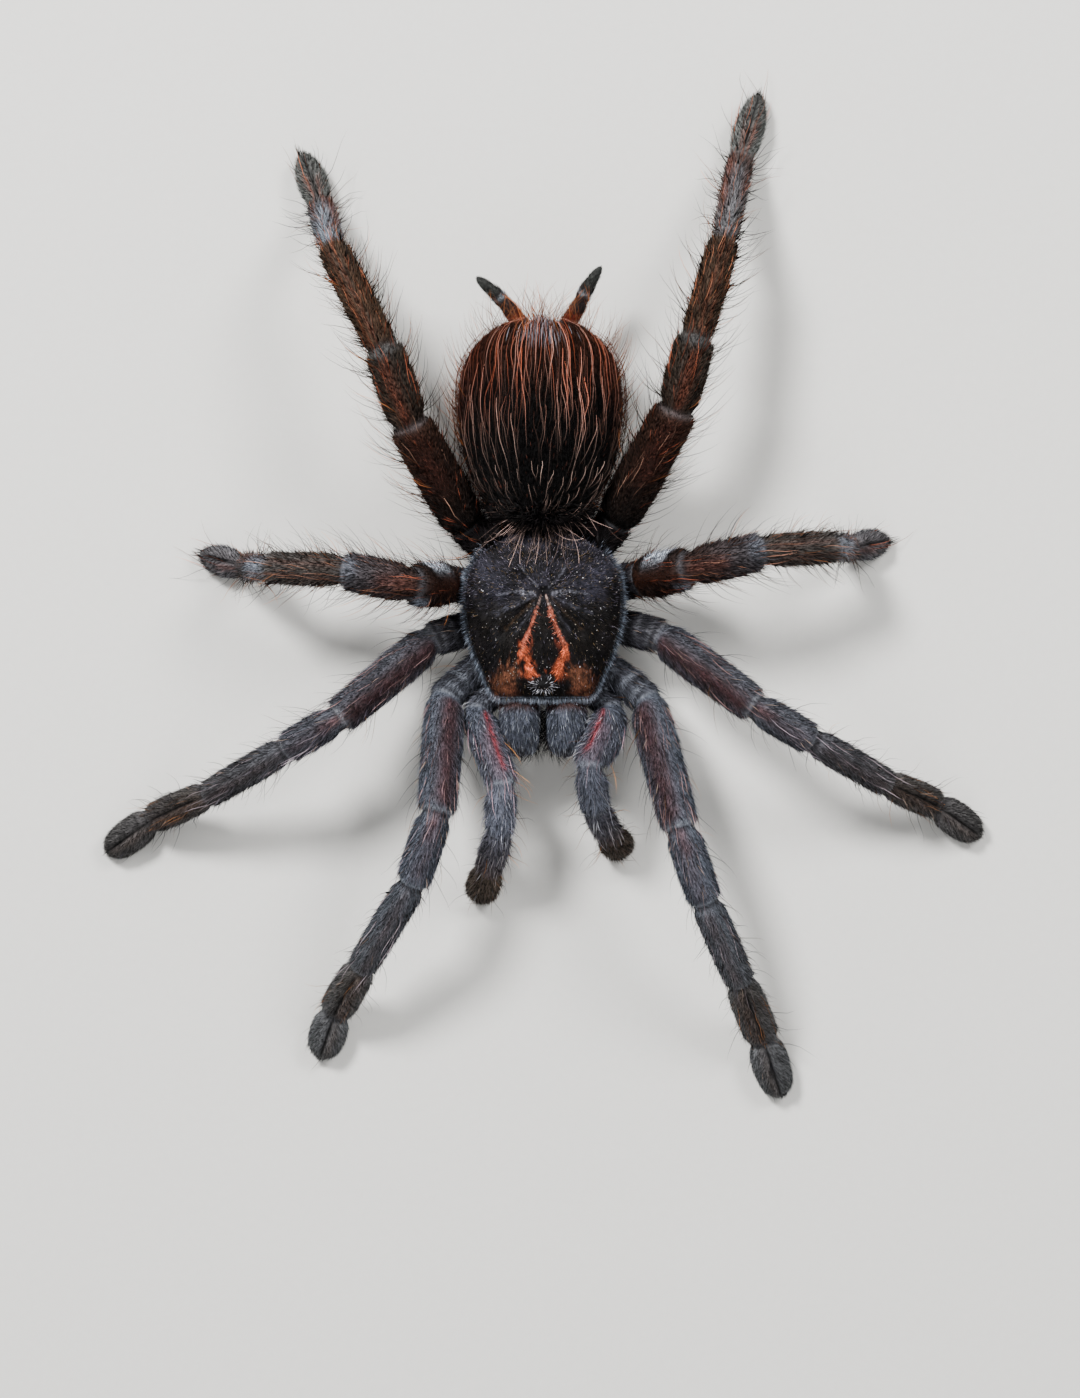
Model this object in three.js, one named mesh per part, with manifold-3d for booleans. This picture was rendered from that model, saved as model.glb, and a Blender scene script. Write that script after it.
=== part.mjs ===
// A dried tarantula with its legs spread, standing on its feet.
//
// Millimetres, +Z up. The head looks along -Y and the spinnerets point along +Y. The origin is on the
// ground, under the middle of the specimen's outline. Left and right are the animal's own, so its left
// legs are on +X. Every hard plate of the animal is one mesh, and the soft membrane between two plates
// is left as a thin gap.

import * as THREE from 'three';
import { mergeVertices } from 'three/addons/utils/BufferGeometryUtils.js';
import Module from 'manifold-3d';

const wasm = await Module();
wasm.setup();

// ------------------------------------------------------------------ driving dimensions

const MEMBRANE = 0.3; // gap between neighbouring plates
const GROUND = 0; // height that the soles rest on
const SOLE_REACH = 0.55; // what comes this near to the ground is pressed flat on it
const LIMB_SIDES = 10;
const HIP_SIDES = 8;
const TRIM_SIDES = 8; // of the small round pieces
const UP = new THREE.Vector3(0, 0, 1);

// Girth along a plate: [share of its length, share of its full width].
const GIRTH = {
  hip: [[0, 0.62], [0.3, 0.8], [0.7, 0.98], [1, 0.9]],
  femur: [[0, 0.84], [0.1, 0.98], [0.36, 1.04], [0.68, 1.0], [0.92, 0.98], [1, 0.86]],
  patella: [[0, 0.86], [0.16, 0.99], [0.5, 1.03], [0.86, 0.98], [1, 0.84]],
  tibia: [[0, 0.84], [0.14, 1.0], [0.5, 1.03], [0.88, 0.98], [1, 0.86]],
  metatarsus: [[0, 0.84], [0.14, 0.94], [0.55, 1.02], [0.88, 1.0], [1, 0.84]],
  tarsus: [[0, 0.8], [0.14, 0.95], [0.45, 1.04], [0.74, 1.0], [0.92, 0.76], [1, 0.4]],
};

// Full widths of the plates of each kind of limb. The plates are a little deeper than they are wide,
// and the feet are flatter.
const WIDTHS = {
  leg1: { hip: 4.1, femur: 4.7, patella: 4.1, tibia: 3.6, metatarsus: 4.2, tarsus: 4.4 },
  leg2: { hip: 4.4, femur: 4.5, patella: 3.7, tibia: 3.3, metatarsus: 3.7, tarsus: 4.0 },
  leg3: { hip: 4.4, femur: 5.0, patella: 4.4, tibia: 3.6, metatarsus: 2.9, tarsus: 3.5 },
  leg4: { hip: 4.6, femur: 5.3, patella: 4.7, tibia: 3.6, metatarsus: 3.0, tarsus: 3.5 },
  palp: { hip: 3.1, femur: 3.8, patella: 3.4, tibia: 3.1, tarsus: 3.9 },
};
const DEPTH = { hip: 1.0, femur: 1.08, patella: 1.02, tibia: 1.0, metatarsus: 0.86, tarsus: 0.82 };

// Joints of each limb, from the body outwards: socket, hip, knee, shin, ankle, heel, toe. A palp has
// no metatarsus, so it has no ankle.
const LIMBS = [
  {
    name: 'leg1_right',
    kind: 'leg1',
    joints: [
      [-5.0, -6.4, 6.4], [-13.0, -13.5, 8.3], [-14.0, -28.7, 18.0], [-17.3, -38.2, 17.0],
      [-24.1, -49.4, 10.6], [-27.9, -55.7, 2.7], [-30.1, -62.3, 1.0],
    ],
  },
  {
    name: 'leg1_left',
    kind: 'leg1',
    joints: [
      [5.0, -6.4, 6.4], [13.8, -14.0, 8.3], [18.0, -30.6, 17.6], [21.4, -40.6, 16.6],
      [26.2, -51.4, 10.0], [29.5, -59.3, 2.7], [32.1, -67.5, 1.0],
    ],
  },
  {
    name: 'leg2_right',
    kind: 'leg2',
    joints: [
      [-5.6, -2.8, 6.4], [-15.0, -6.0, 8.1], [-26.9, -16.2, 16.8], [-34.3, -20.6, 15.8],
      [-44.5, -26.5, 9.2], [-52.4, -29.9, 2.5], [-58.9, -34.6, 0.9],
    ],
  },
  {
    name: 'leg2_left',
    kind: 'leg2',
    joints: [
      [5.6, -2.8, 6.4], [15.7, -5.5, 8.1], [27.8, -14.7, 16.6], [35.7, -19.4, 15.6],
      [45.9, -25.1, 9.0], [52.7, -28.0, 2.5], [59.0, -32.4, 0.9],
    ],
  },
  {
    name: 'leg3_right',
    kind: 'leg3',
    joints: [
      [-5.6, 0.7, 6.4], [-12.6, 1.5, 7.4], [-17.0, 1.2, 17.2], [-26.3, 3.1, 17.6],
      [-36.8, 3.6, 13.4], [-40.2, 3.9, 2.4], [-46.3, 5.7, 0.8],
    ],
  },
  {
    name: 'leg3_left',
    kind: 'leg3',
    joints: [
      [5.6, 0.7, 6.4], [13.0, 2.3, 7.4], [19.0, 3.4, 16.8], [29.1, 5.7, 17.0],
      [38.9, 6.3, 12.6], [41.2, 6.4, 2.4], [46.7, 7.6, 0.8],
    ],
  },
  {
    name: 'leg4_right',
    kind: 'leg4',
    joints: [
      [-4.7, 4.1, 6.4], [-10.2, 9.2, 7.8], [-17.5, 22.2, 17.5], [-21.1, 32.3, 18.0],
      [-27.9, 45.9, 14.0], [-30.0, 52.8, 2.4], [-32.5, 59.8, 0.8],
    ],
  },
  {
    name: 'leg4_left',
    kind: 'leg4',
    joints: [
      [4.7, 4.1, 6.4], [9.6, 9.8, 7.8], [17.5, 24.2, 17.3], [20.1, 33.7, 17.8],
      [24.0, 46.9, 13.2], [26.6, 58.9, 2.4], [29.1, 67.7, 0.8],
    ],
  },
  {
    name: 'palp_right',
    kind: 'palp',
    joints: [
      [-3.1, -9.4, 6.2], [-8.9, -15.3, 8.2], [-5.5, -24.9, 14.2], [-5.8, -31.4, 12.6],
      [-7.3, -36.6, 5.2], [-8.7, -40.9, 0.7],
    ],
  },
  {
    name: 'palp_left',
    kind: 'palp',
    joints: [
      [3.1, -9.4, 6.2], [9.1, -15.3, 8.2], [6.1, -22.5, 14.6], [6.9, -28.3, 11.6],
      [8.8, -31.9, 5.0], [10.8, -34.6, 0.6],
    ],
  },
];

// Plates of a limb, from the body outwards. A plate with two spans bends a little at the joint inside.
const LEG_PLATES = [
  { name: 'hip', spans: ['hip'] },
  { name: 'femur', spans: ['femur'] },
  { name: 'patella_tibia', spans: ['patella', 'tibia'] },
  { name: 'metatarsus', spans: ['metatarsus'] },
  { name: 'tarsus', spans: ['tarsus'] },
];
const PALP_PLATES = LEG_PLATES.filter((plate) => plate.name !== 'metatarsus');

// Carapace stations from the straight front edge to the waist: [y, half width, height of the crown
// over the rim].
const CARAPACE_STATIONS = [
  [-13.7, 6.6, 3.3], [-11.8, 7.4, 4.3], [-8.7, 8.8, 4.7], [-5.0, 10.0, 4.7], [-0.7, 10.5, 4.1],
  [3.0, 10.0, 3.6], [5.4, 8.4, 2.8], [7.2, 5.9, 1.8], [8.4, 3.0, 0.9],
];
const CARAPACE_RINGS = 15;
const CARAPACE_ARC = 14; // steps over the top of a section
const RIM_HEIGHT = 10.2; // underside of the carapace's rim
const RIM_THICKNESS = 0.7;
const CROWN_FLATNESS = 0.72; // below 1 the shoulders are fuller than an ellipse's

const EYES = {
  y: -12.0, height: 14.6, halfWidth: 1.7, halfLength: 1.15, halfHeight: 0.95, sides: 12, rings: 8,
};

// Sternum stations: [y, half width, half depth], about its own middle height.
const STERNUM_STATIONS = [
  [-8.9, 1.3, 1.6], [-7.6, 2.7, 2.2], [-5.6, 3.7, 2.5], [-2.6, 4.3, 2.6], [0.8, 4.3, 2.6],
  [3.2, 3.6, 2.5], [5.2, 2.3, 2.2], [6.6, 1.0, 1.6],
];
const STERNUM_RINGS = 10;
const STERNUM_SIDES = 12;
const STERNUM_MIDDLE = 6.9;

const LABIUM_STATIONS = [[-11.3, 0.7, 0.5], [-10.9, 1.1, 0.8], [-9.9, 1.3, 0.9], [-9.25, 1.1, 0.8]];
const LABIUM_RINGS = 5;
const LABIUM_MIDDLE = 5.4;

// Abdomen stations from the waist to the spinnerets: [y, half width, half depth].
const ABDOMEN_STATIONS = [
  [9.2, 1.9, 1.8], [9.9, 4.1, 3.6], [12.0, 6.8, 5.6], [16.0, 9.2, 7.4], [21.0, 10.5, 8.6],
  [26.0, 10.8, 8.8], [30.5, 10.0, 7.9], [33.8, 7.8, 6.0], [35.6, 5.0, 4.0], [36.1, 2.6, 2.2],
];
const ABDOMEN_RINGS = 17;
const ABDOMEN_SIDES = 20;
const ABDOMEN_MIDDLE = { front: 9.8, rear: 12.4 };
const ABDOMEN_OFFSET = -0.4; // the abdomen hangs a little to the left of the head

const PEDICEL = {
  path: [[0, 7.3, 7.8], [0, 8.7, 8.3]],
  width: 2.3,
  girth: [[0, 0.9], [0.5, 1], [1, 0.9]],
};

// Chelicera stations from under the carapace's front edge forwards: [y, half width, half depth].
const CHELICERA_STATIONS = [
  [-14.0, 2.2, 3.1], [-14.9, 2.5, 3.6], [-17.2, 2.5, 4.0], [-19.0, 2.2, 3.8], [-20.4, 1.6, 3.0],
  [-21.2, 0.8, 1.9],
];
const CHELICERA_RINGS = 8;
const CHELICERA_SIDES = 12;
const CHELICERA_OFFSET = 2.85; // from the middle of the head to the middle of a chelicera
const CHELICERA_MIDDLE = 9.5;

// A fang folds back under its chelicera, hinged at the front.
const FANG_PATH = [[2.8, -19.8, 5.1], [2.7, -19.4, 3.7], [2.5, -17.4, 2.6], [2.3, -15.1, 2.7]];
const FANG_WIDTH = 1.5;
const FANG_GIRTH = [[0, 0.8], [0.15, 1.0], [0.4, 0.86], [0.7, 0.54], [0.9, 0.28], [1, 0.12]];

const SPINNERETS = [
  {
    name: 'spinneret_right',
    path: [[-2.9, 36.1, 7.6], [-4.7, 38.5, 8.6], [-6.4, 40.2, 9.5], [-8.9, 42.3, 10.2]],
  },
  {
    name: 'spinneret_left',
    path: [[3.2, 36.0, 7.6], [4.6, 38.4, 8.6], [5.8, 40.8, 9.5], [7.7, 43.7, 10.2]],
  },
];
const SPINNERET_WIDTH = 2.1;
const SPINNERET_GIRTH = [
  [0, 0.78], [0.12, 1.0], [0.36, 0.9], [0.42, 0.72], [0.5, 0.86], [0.68, 0.8], [0.73, 0.62],
  [0.8, 0.72], [0.94, 0.46], [1, 0.2],
];

// ------------------------------------------------------------------ materials

const SKIN = {
  front: { color: 0x4a4c5c, roughness: 0.85 },
  rear: { color: 0x32221d, roughness: 0.85 },
  shield: { color: 0x2c2723, roughness: 0.7 },
  belly: { color: 0x241c1b, roughness: 0.9 },
  jaw: { color: 0x454a58, roughness: 0.8 },
  fang: { color: 0x120b0a, roughness: 0.25 },
  abdomen: { color: 0x2a1512, roughness: 0.9 },
  spinneret: { color: 0x3b2c26, roughness: 0.85 },
};

// ------------------------------------------------------------------ building closed bodies

/** Joins rings of equal length into a closed mesh. The rings turn clockwise seen along the piece. */
function loft(rings) {
  const sides = rings[0].length;
  const positions = rings.flat().flatMap((point) => point.toArray());
  const indices = [];
  for (let ring = 0; ring < rings.length - 1; ring += 1) {
    for (let side = 0; side < sides; side += 1) {
      const here = ring * sides + side;
      const next = ring * sides + (side + 1) % sides;
      indices.push(here, here + sides, next);
      indices.push(next, here + sides, next + sides);
    }
  }
  const last = (rings.length - 1) * sides;
  const startCentre = positions.length / 3;
  positions.push(...ringCentre(rings[0]).toArray());
  positions.push(...ringCentre(rings[rings.length - 1]).toArray());
  for (let side = 0; side < sides; side += 1) {
    const next = (side + 1) % sides;
    indices.push(startCentre, side, next);
    indices.push(startCentre + 1, last + next, last + side);
  }
  const geometry = new THREE.BufferGeometry();
  geometry.setAttribute('position', new THREE.Float32BufferAttribute(positions, 3));
  geometry.setIndex(indices);
  return geometry;
}

/** The middle of a ring of points. */
function ringCentre(ring) {
  const sum = ring.reduce((total, point) => total.add(point), new THREE.Vector3());
  return sum.divideScalar(ring.length);
}

/** Smooth stations through a few set ones; each station is three numbers. */
function smoothStations(stations, count) {
  const points = stations.map((station) => new THREE.Vector3(...station));
  return new THREE.CatmullRomCurve3(points, false, 'centripetal').getPoints(count - 1);
}

/** An elliptic ring round a centre. Its plane is tilted by sliding each point along the piece. */
function tiltedRing({ centre, along, tilt, halfWidth, halfDepth, sides }) {
  const across = new THREE.Vector3().crossVectors(along, UP).normalize();
  const over = new THREE.Vector3().crossVectors(across, along);
  const ring = [];
  for (let side = 0; side < sides; side += 1) {
    const angle = (2 * Math.PI * side) / sides;
    const point = across.clone().multiplyScalar(Math.cos(angle) * halfWidth);
    point.addScaledVector(over, Math.sin(angle) * halfDepth);
    point.addScaledVector(along, -point.dot(tilt));
    point.add(centre);
    ring.push(point);
  }
  return ring;
}

/** A body that follows a smooth path, round in section and tapered by its girth. */
function sweptBody({ path, width, girth, sides }) {
  const curve = new THREE.CatmullRomCurve3(path.map((place) => new THREE.Vector3(...place)));
  const rings = girth.map(([share, size]) => {
    const centre = curve.getPointAt(share);
    const along = curve.getTangentAt(share);
    const half = (width * size) / 2;
    return tiltedRing({ centre, along, tilt: along, halfWidth: half, halfDepth: half, sides });
  });
  return loft(rings);
}

/** A body lofted along Y from stations of half width and half depth about a middle line. */
function bodyAlongY({ stations, count, sides, offset = 0, middle }) {
  const along = new THREE.Vector3(0, Math.sign(stations[stations.length - 1][0] - stations[0][0]), 0);
  const rings = smoothStations(stations, count).map((station) => tiltedRing({
    centre: new THREE.Vector3(offset, station.x, middle(station.x)),
    along,
    tilt: along,
    halfWidth: station.y,
    halfDepth: station.z,
    sides,
  }));
  return loft(rings);
}

// ------------------------------------------------------------------ limbs

/** Unit directions of the spans between a limb's joints. */
function spanDirections(joints) {
  return joints.slice(1).map((joint, index) => joint.clone().sub(joints[index]).normalize());
}

/** Normal of the plane that two neighbouring plates share at a joint. */
function jointNormal(directions, joint) {
  const before = directions[Math.max(joint - 1, 0)];
  const after = directions[Math.min(joint, directions.length - 1)];
  return before.clone().add(after).normalize();
}

/** Rings of one span of a plate, cut at both ends in the planes of its joints. */
function spanRings({ start, end, startNormal, endNormal, startGap, endGap, girth, width, depth, sides }) {
  const along = end.clone().sub(start).normalize();
  const startTilt = startNormal.clone().divideScalar(startNormal.dot(along));
  const endTilt = endNormal.clone().divideScalar(endNormal.dot(along));
  const from = start.clone().addScaledVector(along, startGap * startTilt.length());
  const to = end.clone().addScaledVector(along, -endGap * endTilt.length());
  return girth.map(([share, size]) => tiltedRing({
    centre: from.clone().lerp(to, share),
    along,
    tilt: startTilt.clone().lerp(endTilt, share),
    halfWidth: (width * size) / 2,
    halfDepth: (width * size * depth) / 2,
    sides,
  }));
}

/** The rings of a whole plate, which may have a bend inside. */
function plateRings({ joints, directions, firstJoint, spans, widths, sides }) {
  const rings = [];
  spans.forEach((span, index) => {
    const joint = firstJoint + index;
    const isFirst = index === 0;
    const isLast = index === spans.length - 1;
    const spanRing = spanRings({
      start: joints[joint],
      end: joints[joint + 1],
      startNormal: jointNormal(directions, joint),
      endNormal: jointNormal(directions, joint + 1),
      startGap: isFirst ? MEMBRANE / 2 : 0,
      endGap: isLast ? MEMBRANE / 2 : 0,
      girth: GIRTH[span],
      width: widths[span],
      depth: DEPTH[span],
      sides,
    });
    rings.push(...(isFirst ? spanRing : spanRing.slice(1)));
  });
  return rings;
}

/** Presses the lowest points of a foot flat on the ground, as its sole. */
function flattenSole(rings) {
  const low = rings.flat().filter((point) => point.z < GROUND + SOLE_REACH);
  low.forEach((point) => {
    point.z = GROUND;
  });
}

/** All the plates of one limb, as named meshes. */
function buildLimb({ name, kind, joints: places }) {
  const joints = places.map((place) => new THREE.Vector3(...place));
  const directions = spanDirections(joints);
  const plates = kind === 'palp' ? PALP_PLATES : LEG_PLATES;
  const skin = kind === 'leg3' || kind === 'leg4' ? SKIN.rear : SKIN.front;
  const widths = WIDTHS[kind];
  let firstJoint = 0;
  return plates.map((plate) => {
    const { spans } = plate;
    const sides = plate.name === 'hip' ? HIP_SIDES : LIMB_SIDES;
    const rings = plateRings({ joints, directions, firstJoint, spans, widths, sides });
    firstJoint += spans.length;
    if (plate.name === 'tarsus') {
      flattenSole(rings);
    }
    return mesh(`${name}_${plate.name}`, loft(rings), skin);
  });
}

// ------------------------------------------------------------------ body

/** One section of the carapace: a flat underside, an upright rim and a full-shouldered crown. */
function carapaceRing(station) {
  const { x: y, y: halfWidth, z: crown } = station;
  const ring = [];
  for (let step = 0; step <= CARAPACE_ARC; step += 1) {
    const angle = (Math.PI * step) / CARAPACE_ARC;
    const rise = (crown - RIM_THICKNESS) * Math.sin(angle) ** CROWN_FLATNESS;
    const x = Math.cos(angle) * halfWidth;
    ring.push(new THREE.Vector3(x, y, RIM_HEIGHT + RIM_THICKNESS + Math.max(rise, 0)));
  }
  ring.push(new THREE.Vector3(-halfWidth, y, RIM_HEIGHT));
  ring.push(new THREE.Vector3(0, y, RIM_HEIGHT));
  ring.push(new THREE.Vector3(halfWidth, y, RIM_HEIGHT));
  return ring;
}

/** The carapace with the low mound that carries the eyes. */
function buildCarapace() {
  const shield = toSolid(loft(smoothStations(CARAPACE_STATIONS, CARAPACE_RINGS).map(carapaceRing)));
  const mound = new THREE.SphereGeometry(1, EYES.sides, EYES.rings);
  mound.scale(EYES.halfWidth, EYES.halfLength, EYES.halfHeight);
  mound.translate(0, EYES.y, EYES.height);
  return mesh('carapace', fromSolid(shield.add(toSolid(mound))), SKIN.shield);
}

/** The underside plate and the lip in front of it. */
function buildUnderside() {
  const sternum = bodyAlongY({
    stations: STERNUM_STATIONS,
    count: STERNUM_RINGS,
    sides: STERNUM_SIDES,
    middle: () => STERNUM_MIDDLE,
  });
  const labium = bodyAlongY({
    stations: LABIUM_STATIONS,
    count: LABIUM_RINGS,
    sides: TRIM_SIDES,
    middle: () => LABIUM_MIDDLE,
  });
  return [mesh('sternum', sternum, SKIN.belly), mesh('labium', labium, SKIN.belly)];
}

/** The waist, the abdomen and the two spinnerets behind it. */
function buildRear() {
  const firstStation = ABDOMEN_STATIONS[0][0];
  const lastStation = ABDOMEN_STATIONS[ABDOMEN_STATIONS.length - 1][0];
  const { front, rear } = ABDOMEN_MIDDLE;
  const abdomen = bodyAlongY({
    stations: ABDOMEN_STATIONS,
    count: ABDOMEN_RINGS,
    sides: ABDOMEN_SIDES,
    offset: ABDOMEN_OFFSET,
    middle: (y) => THREE.MathUtils.mapLinear(y, firstStation, lastStation, front, rear),
  });
  const pedicel = sweptBody({ ...PEDICEL, sides: TRIM_SIDES });
  const spinnerets = SPINNERETS.map(({ name, path }) => mesh(
    name,
    sweptBody({ path, width: SPINNERET_WIDTH, girth: SPINNERET_GIRTH, sides: TRIM_SIDES }),
    SKIN.spinneret,
  ));
  return [mesh('pedicel', pedicel, SKIN.belly), mesh('abdomen', abdomen, SKIN.abdomen), ...spinnerets];
}

/** A chelicera and its fang, on the side of X given by a sign. */
function buildJaw(side, sideName) {
  const chelicera = bodyAlongY({
    stations: CHELICERA_STATIONS,
    count: CHELICERA_RINGS,
    sides: CHELICERA_SIDES,
    offset: side * CHELICERA_OFFSET,
    middle: () => CHELICERA_MIDDLE,
  });
  const path = FANG_PATH.map(([x, y, z]) => [side * x, y, z]);
  const fang = sweptBody({ path, width: FANG_WIDTH, girth: FANG_GIRTH, sides: TRIM_SIDES });
  return [
    mesh(`chelicera_${sideName}`, chelicera, SKIN.jaw),
    mesh(`fang_${sideName}`, fang, SKIN.fang),
  ];
}

// ------------------------------------------------------------------ solids and meshes

/** A manifold solid from a closed geometry. */
function toSolid(geometry) {
  geometry.deleteAttribute('normal');
  geometry.deleteAttribute('uv');
  const merged = mergeVertices(geometry);
  return new wasm.Manifold(new wasm.Mesh({
    numProp: 3,
    vertProperties: new Float32Array(merged.attributes.position.array),
    triVerts: new Uint32Array(merged.index.array),
  }));
}

/** A geometry from a manifold solid. */
function fromSolid(solid) {
  const { vertProperties, triVerts } = solid.getMesh();
  const geometry = new THREE.BufferGeometry();
  geometry.setAttribute('position', new THREE.BufferAttribute(vertProperties, 3));
  geometry.setIndex(new THREE.BufferAttribute(triVerts, 1));
  return geometry;
}

/** A named mesh with a material of its own. */
function mesh(name, geometry, { color, roughness }) {
  geometry.computeVertexNormals();
  const material = new THREE.MeshStandardMaterial({ color, roughness, metalness: 0 });
  const piece = new THREE.Mesh(geometry, material);
  piece.name = name;
  return piece;
}

// ------------------------------------------------------------------ the specimen

const specimen = new THREE.Group();
specimen.add(buildCarapace(), ...buildUnderside(), ...buildRear());
specimen.add(...buildJaw(-1, 'right'), ...buildJaw(1, 'left'));
LIMBS.forEach((limb) => specimen.add(...buildLimb(limb)));

const outline = new THREE.Box3().setFromObject(specimen, true);
const middle = outline.getCenter(new THREE.Vector3());
specimen.position.set(-middle.x, -middle.y, 0);
specimen.updateMatrixWorld(true);

export default specimen;
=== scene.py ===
"""The look of a dried, spread tarantula: furred limbs, velvet body and a plain studio.

Shapes are worked out in millimetres and written to meshes in metres. The animal faces
-Y and its own left side is +X. Each skin is wrapped round the solids that it stands
for, and hair is grown on the skin by node trees and then turned into plain mesh.
"""

import logging
import math
from dataclasses import dataclass, field, replace
from enum import Enum
from typing import Any, Protocol

import bpy
import numpy as np
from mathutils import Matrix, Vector
from mathutils.bvhtree import BVHTree


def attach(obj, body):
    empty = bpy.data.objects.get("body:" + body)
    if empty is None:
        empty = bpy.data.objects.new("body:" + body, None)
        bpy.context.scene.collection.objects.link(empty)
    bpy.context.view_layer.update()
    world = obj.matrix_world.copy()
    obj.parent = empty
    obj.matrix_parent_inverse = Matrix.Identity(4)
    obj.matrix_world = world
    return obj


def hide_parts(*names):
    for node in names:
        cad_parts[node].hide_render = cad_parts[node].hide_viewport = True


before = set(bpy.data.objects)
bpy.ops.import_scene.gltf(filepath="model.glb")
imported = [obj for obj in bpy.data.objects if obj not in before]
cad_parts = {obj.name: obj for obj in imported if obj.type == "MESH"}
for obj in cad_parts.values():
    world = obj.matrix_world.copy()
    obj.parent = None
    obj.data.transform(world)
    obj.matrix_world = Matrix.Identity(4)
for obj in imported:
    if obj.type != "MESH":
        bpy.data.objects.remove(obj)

MM = 0.001
FULL_TURN = 2.0 * math.pi
BODY = "root"
UP = np.array((0.0, 0.0, 1.0))
# Radians that keep a probing ray off the solids' edges.
AIM_OFFSET = 0.004
PROBE_TRIES = 4
PROBE_STEP = 0.01
# Millimetres from which solids are probed, and the least heights of skin and hair.
SKY = 30.0
GROUND = 0.02
HAIR_GROUND = 0.03
RELAX_ROUNDS = 6
# Curve of screen colours.
CURVE_KNEE = 0.04045
CURVE_SLOPE = 12.92
CURVE_LIFT = 0.055
CURVE_POWER = 2.4
# Shapes that a kind of hair comes in, and what a coat's seed is raised by to draw sizes and shapes.
HAIR_SHAPES = 8
SIZE_SEED = 101.0
SHAPE_SEED = 211.0
STRAND_SIDES = 3
# Steps that mix the cells of random patches.
MIX = (73856093, 19349663, 83492791, 2654435761, 1274126177)
TOP_VALUE = 0xFFFF
FRINGE_TONE = (60, 42, 30)
SPINE_TONE = (22, 18, 18)
GRAIN_LOW = 0.3
GRAIN_HIGH = 0.7

Tone = tuple[float, float, float]
Point = tuple[float, float, float]
Array = np.ndarray
Piece = bpy.types.Object
Mesh = bpy.types.Mesh
Material = bpy.types.Material
Node = bpy.types.Node
Socket = bpy.types.NodeSocket

log = logging.getLogger("tarantula")


# ---- small sums ----


def linear(tone: Tone) -> Array:
    """Turn a screen colour of 0 to 255 into light amounts of 0 to 1."""
    share = np.asarray(tone, float) / 255.0
    bright = ((share + CURVE_LIFT) / (1.0 + CURVE_LIFT)) ** CURVE_POWER
    return np.where(share <= CURVE_KNEE, share / CURVE_SLOPE, bright)


def plain(tone: Tone, points: Array) -> Array:
    """The same colour for each of some points."""
    return np.tile(linear(tone), (len(points), 1))


def ease(low: float, high: float, value: Array) -> Array:
    """Rise smoothly from 0 at low to 1 at high."""
    share = np.clip((value - low) / (high - low), 0.0, 1.0)
    return share * share * (3.0 - 2.0 * share)


def bell(value: Array, width: float) -> Array:
    """Bell curve of height 1 that has fallen to 0.37 at the given width."""
    return np.exp(-((value / width) ** 2))


def window(value: Array, low: float, high: float, feather: float) -> Array:
    """1 between low and high, with soft edges that are one feather wide."""
    rise = ease(low - feather / 2, low + feather / 2, value)
    return rise * (1.0 - ease(high - feather / 2, high + feather / 2, value))


def unit(vectors: Array) -> Array:
    """Scale vectors along the last axis to length 1."""
    return vectors / np.maximum(np.linalg.norm(vectors, axis=-1, keepdims=True), 1e-9)


def toward(base: Array, tone: Tone, amount: Array) -> Array:
    """Move colours in base toward a screen colour, each by its own amount."""
    return base + (linear(tone) - base) * np.asarray(amount)[..., None]


def layered(points: Array, base: Tone, *layers: tuple[Tone, Array]) -> Array:
    """Lay colours over a base colour.

    Args:
        points: Places that get a colour.
        base: Colour below all others.
        layers: Further colours from the lowest up, each with its amount at each place.

    Returns:
        One colour for each place.
    """
    colour = plain(base, points)
    for tone, amount in layers:
        colour = toward(colour, tone, amount)
    return colour


def mottle(points: Array, cell: float, seed: int) -> Array:
    """Smooth random patches that fill space.

    Args:
        points: Places to read, in millimetres.
        cell: Rough size of a patch in millimetres.
        seed: Picks another set of patches.

    Returns:
        One value from 0 to 1 for each point.
    """
    grid = points / cell
    low = np.floor(grid).astype(np.int64)
    part = grid - low
    part = part * part * (3.0 - 2.0 * part)
    total = np.zeros(len(points))
    for corner in np.ndindex(2, 2, 2):
        cells = low + np.array(corner)
        mixed = cells[:, 0] * MIX[0] ^ cells[:, 1] * MIX[1] ^ cells[:, 2] * MIX[2] ^ seed * MIX[3]
        mixed = (mixed ^ (mixed >> 13)) * MIX[4]
        value = ((mixed ^ (mixed >> 16)) & TOP_VALUE) / TOP_VALUE
        weight = np.prod(np.where(np.array(corner) == 1, part, 1.0 - part), axis=1)
        total += weight * value
    return total


def smooth_rows(rows: Array, sigma: float) -> Array:
    """Smooth rows along their first axis and keep the run of both ends.

    Args:
        rows: Values whose first axis is the one to smooth.
        sigma: Width of the smoothing in rows.

    Returns:
        Smoothed values of the same shape.
    """
    reach = min(int(math.ceil(3.0 * sigma)), len(rows) - 1)
    if reach < 1:
        return rows
    head = 2.0 * rows[0] - rows[reach:0:-1]
    tail = 2.0 * rows[-1] - rows[-2:-reach - 2:-1]
    padded = np.concatenate([head, rows, tail]).reshape(len(rows) + 2 * reach, -1)
    weights = np.exp(-0.5 * (np.arange(-reach, reach + 1) / sigma) ** 2)
    weights /= weights.sum()
    columns = [np.convolve(column, weights, "valid") for column in padded.T]
    return np.stack(columns, axis=1).reshape(rows.shape)


def respaced(line: Array, step: float) -> Array:
    """Points at equal steps along a line through the given points."""
    runs = np.linalg.norm(np.diff(line, axis=0), axis=1)
    marks = np.concatenate([[0.0], np.cumsum(runs)])
    places = np.linspace(0.0, marks[-1], max(int(round(marks[-1] / step)), 3) + 1)
    return np.stack([np.interp(places, marks, line[:, axis]) for axis in range(3)], axis=1)


# ---- meshes ----


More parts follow.
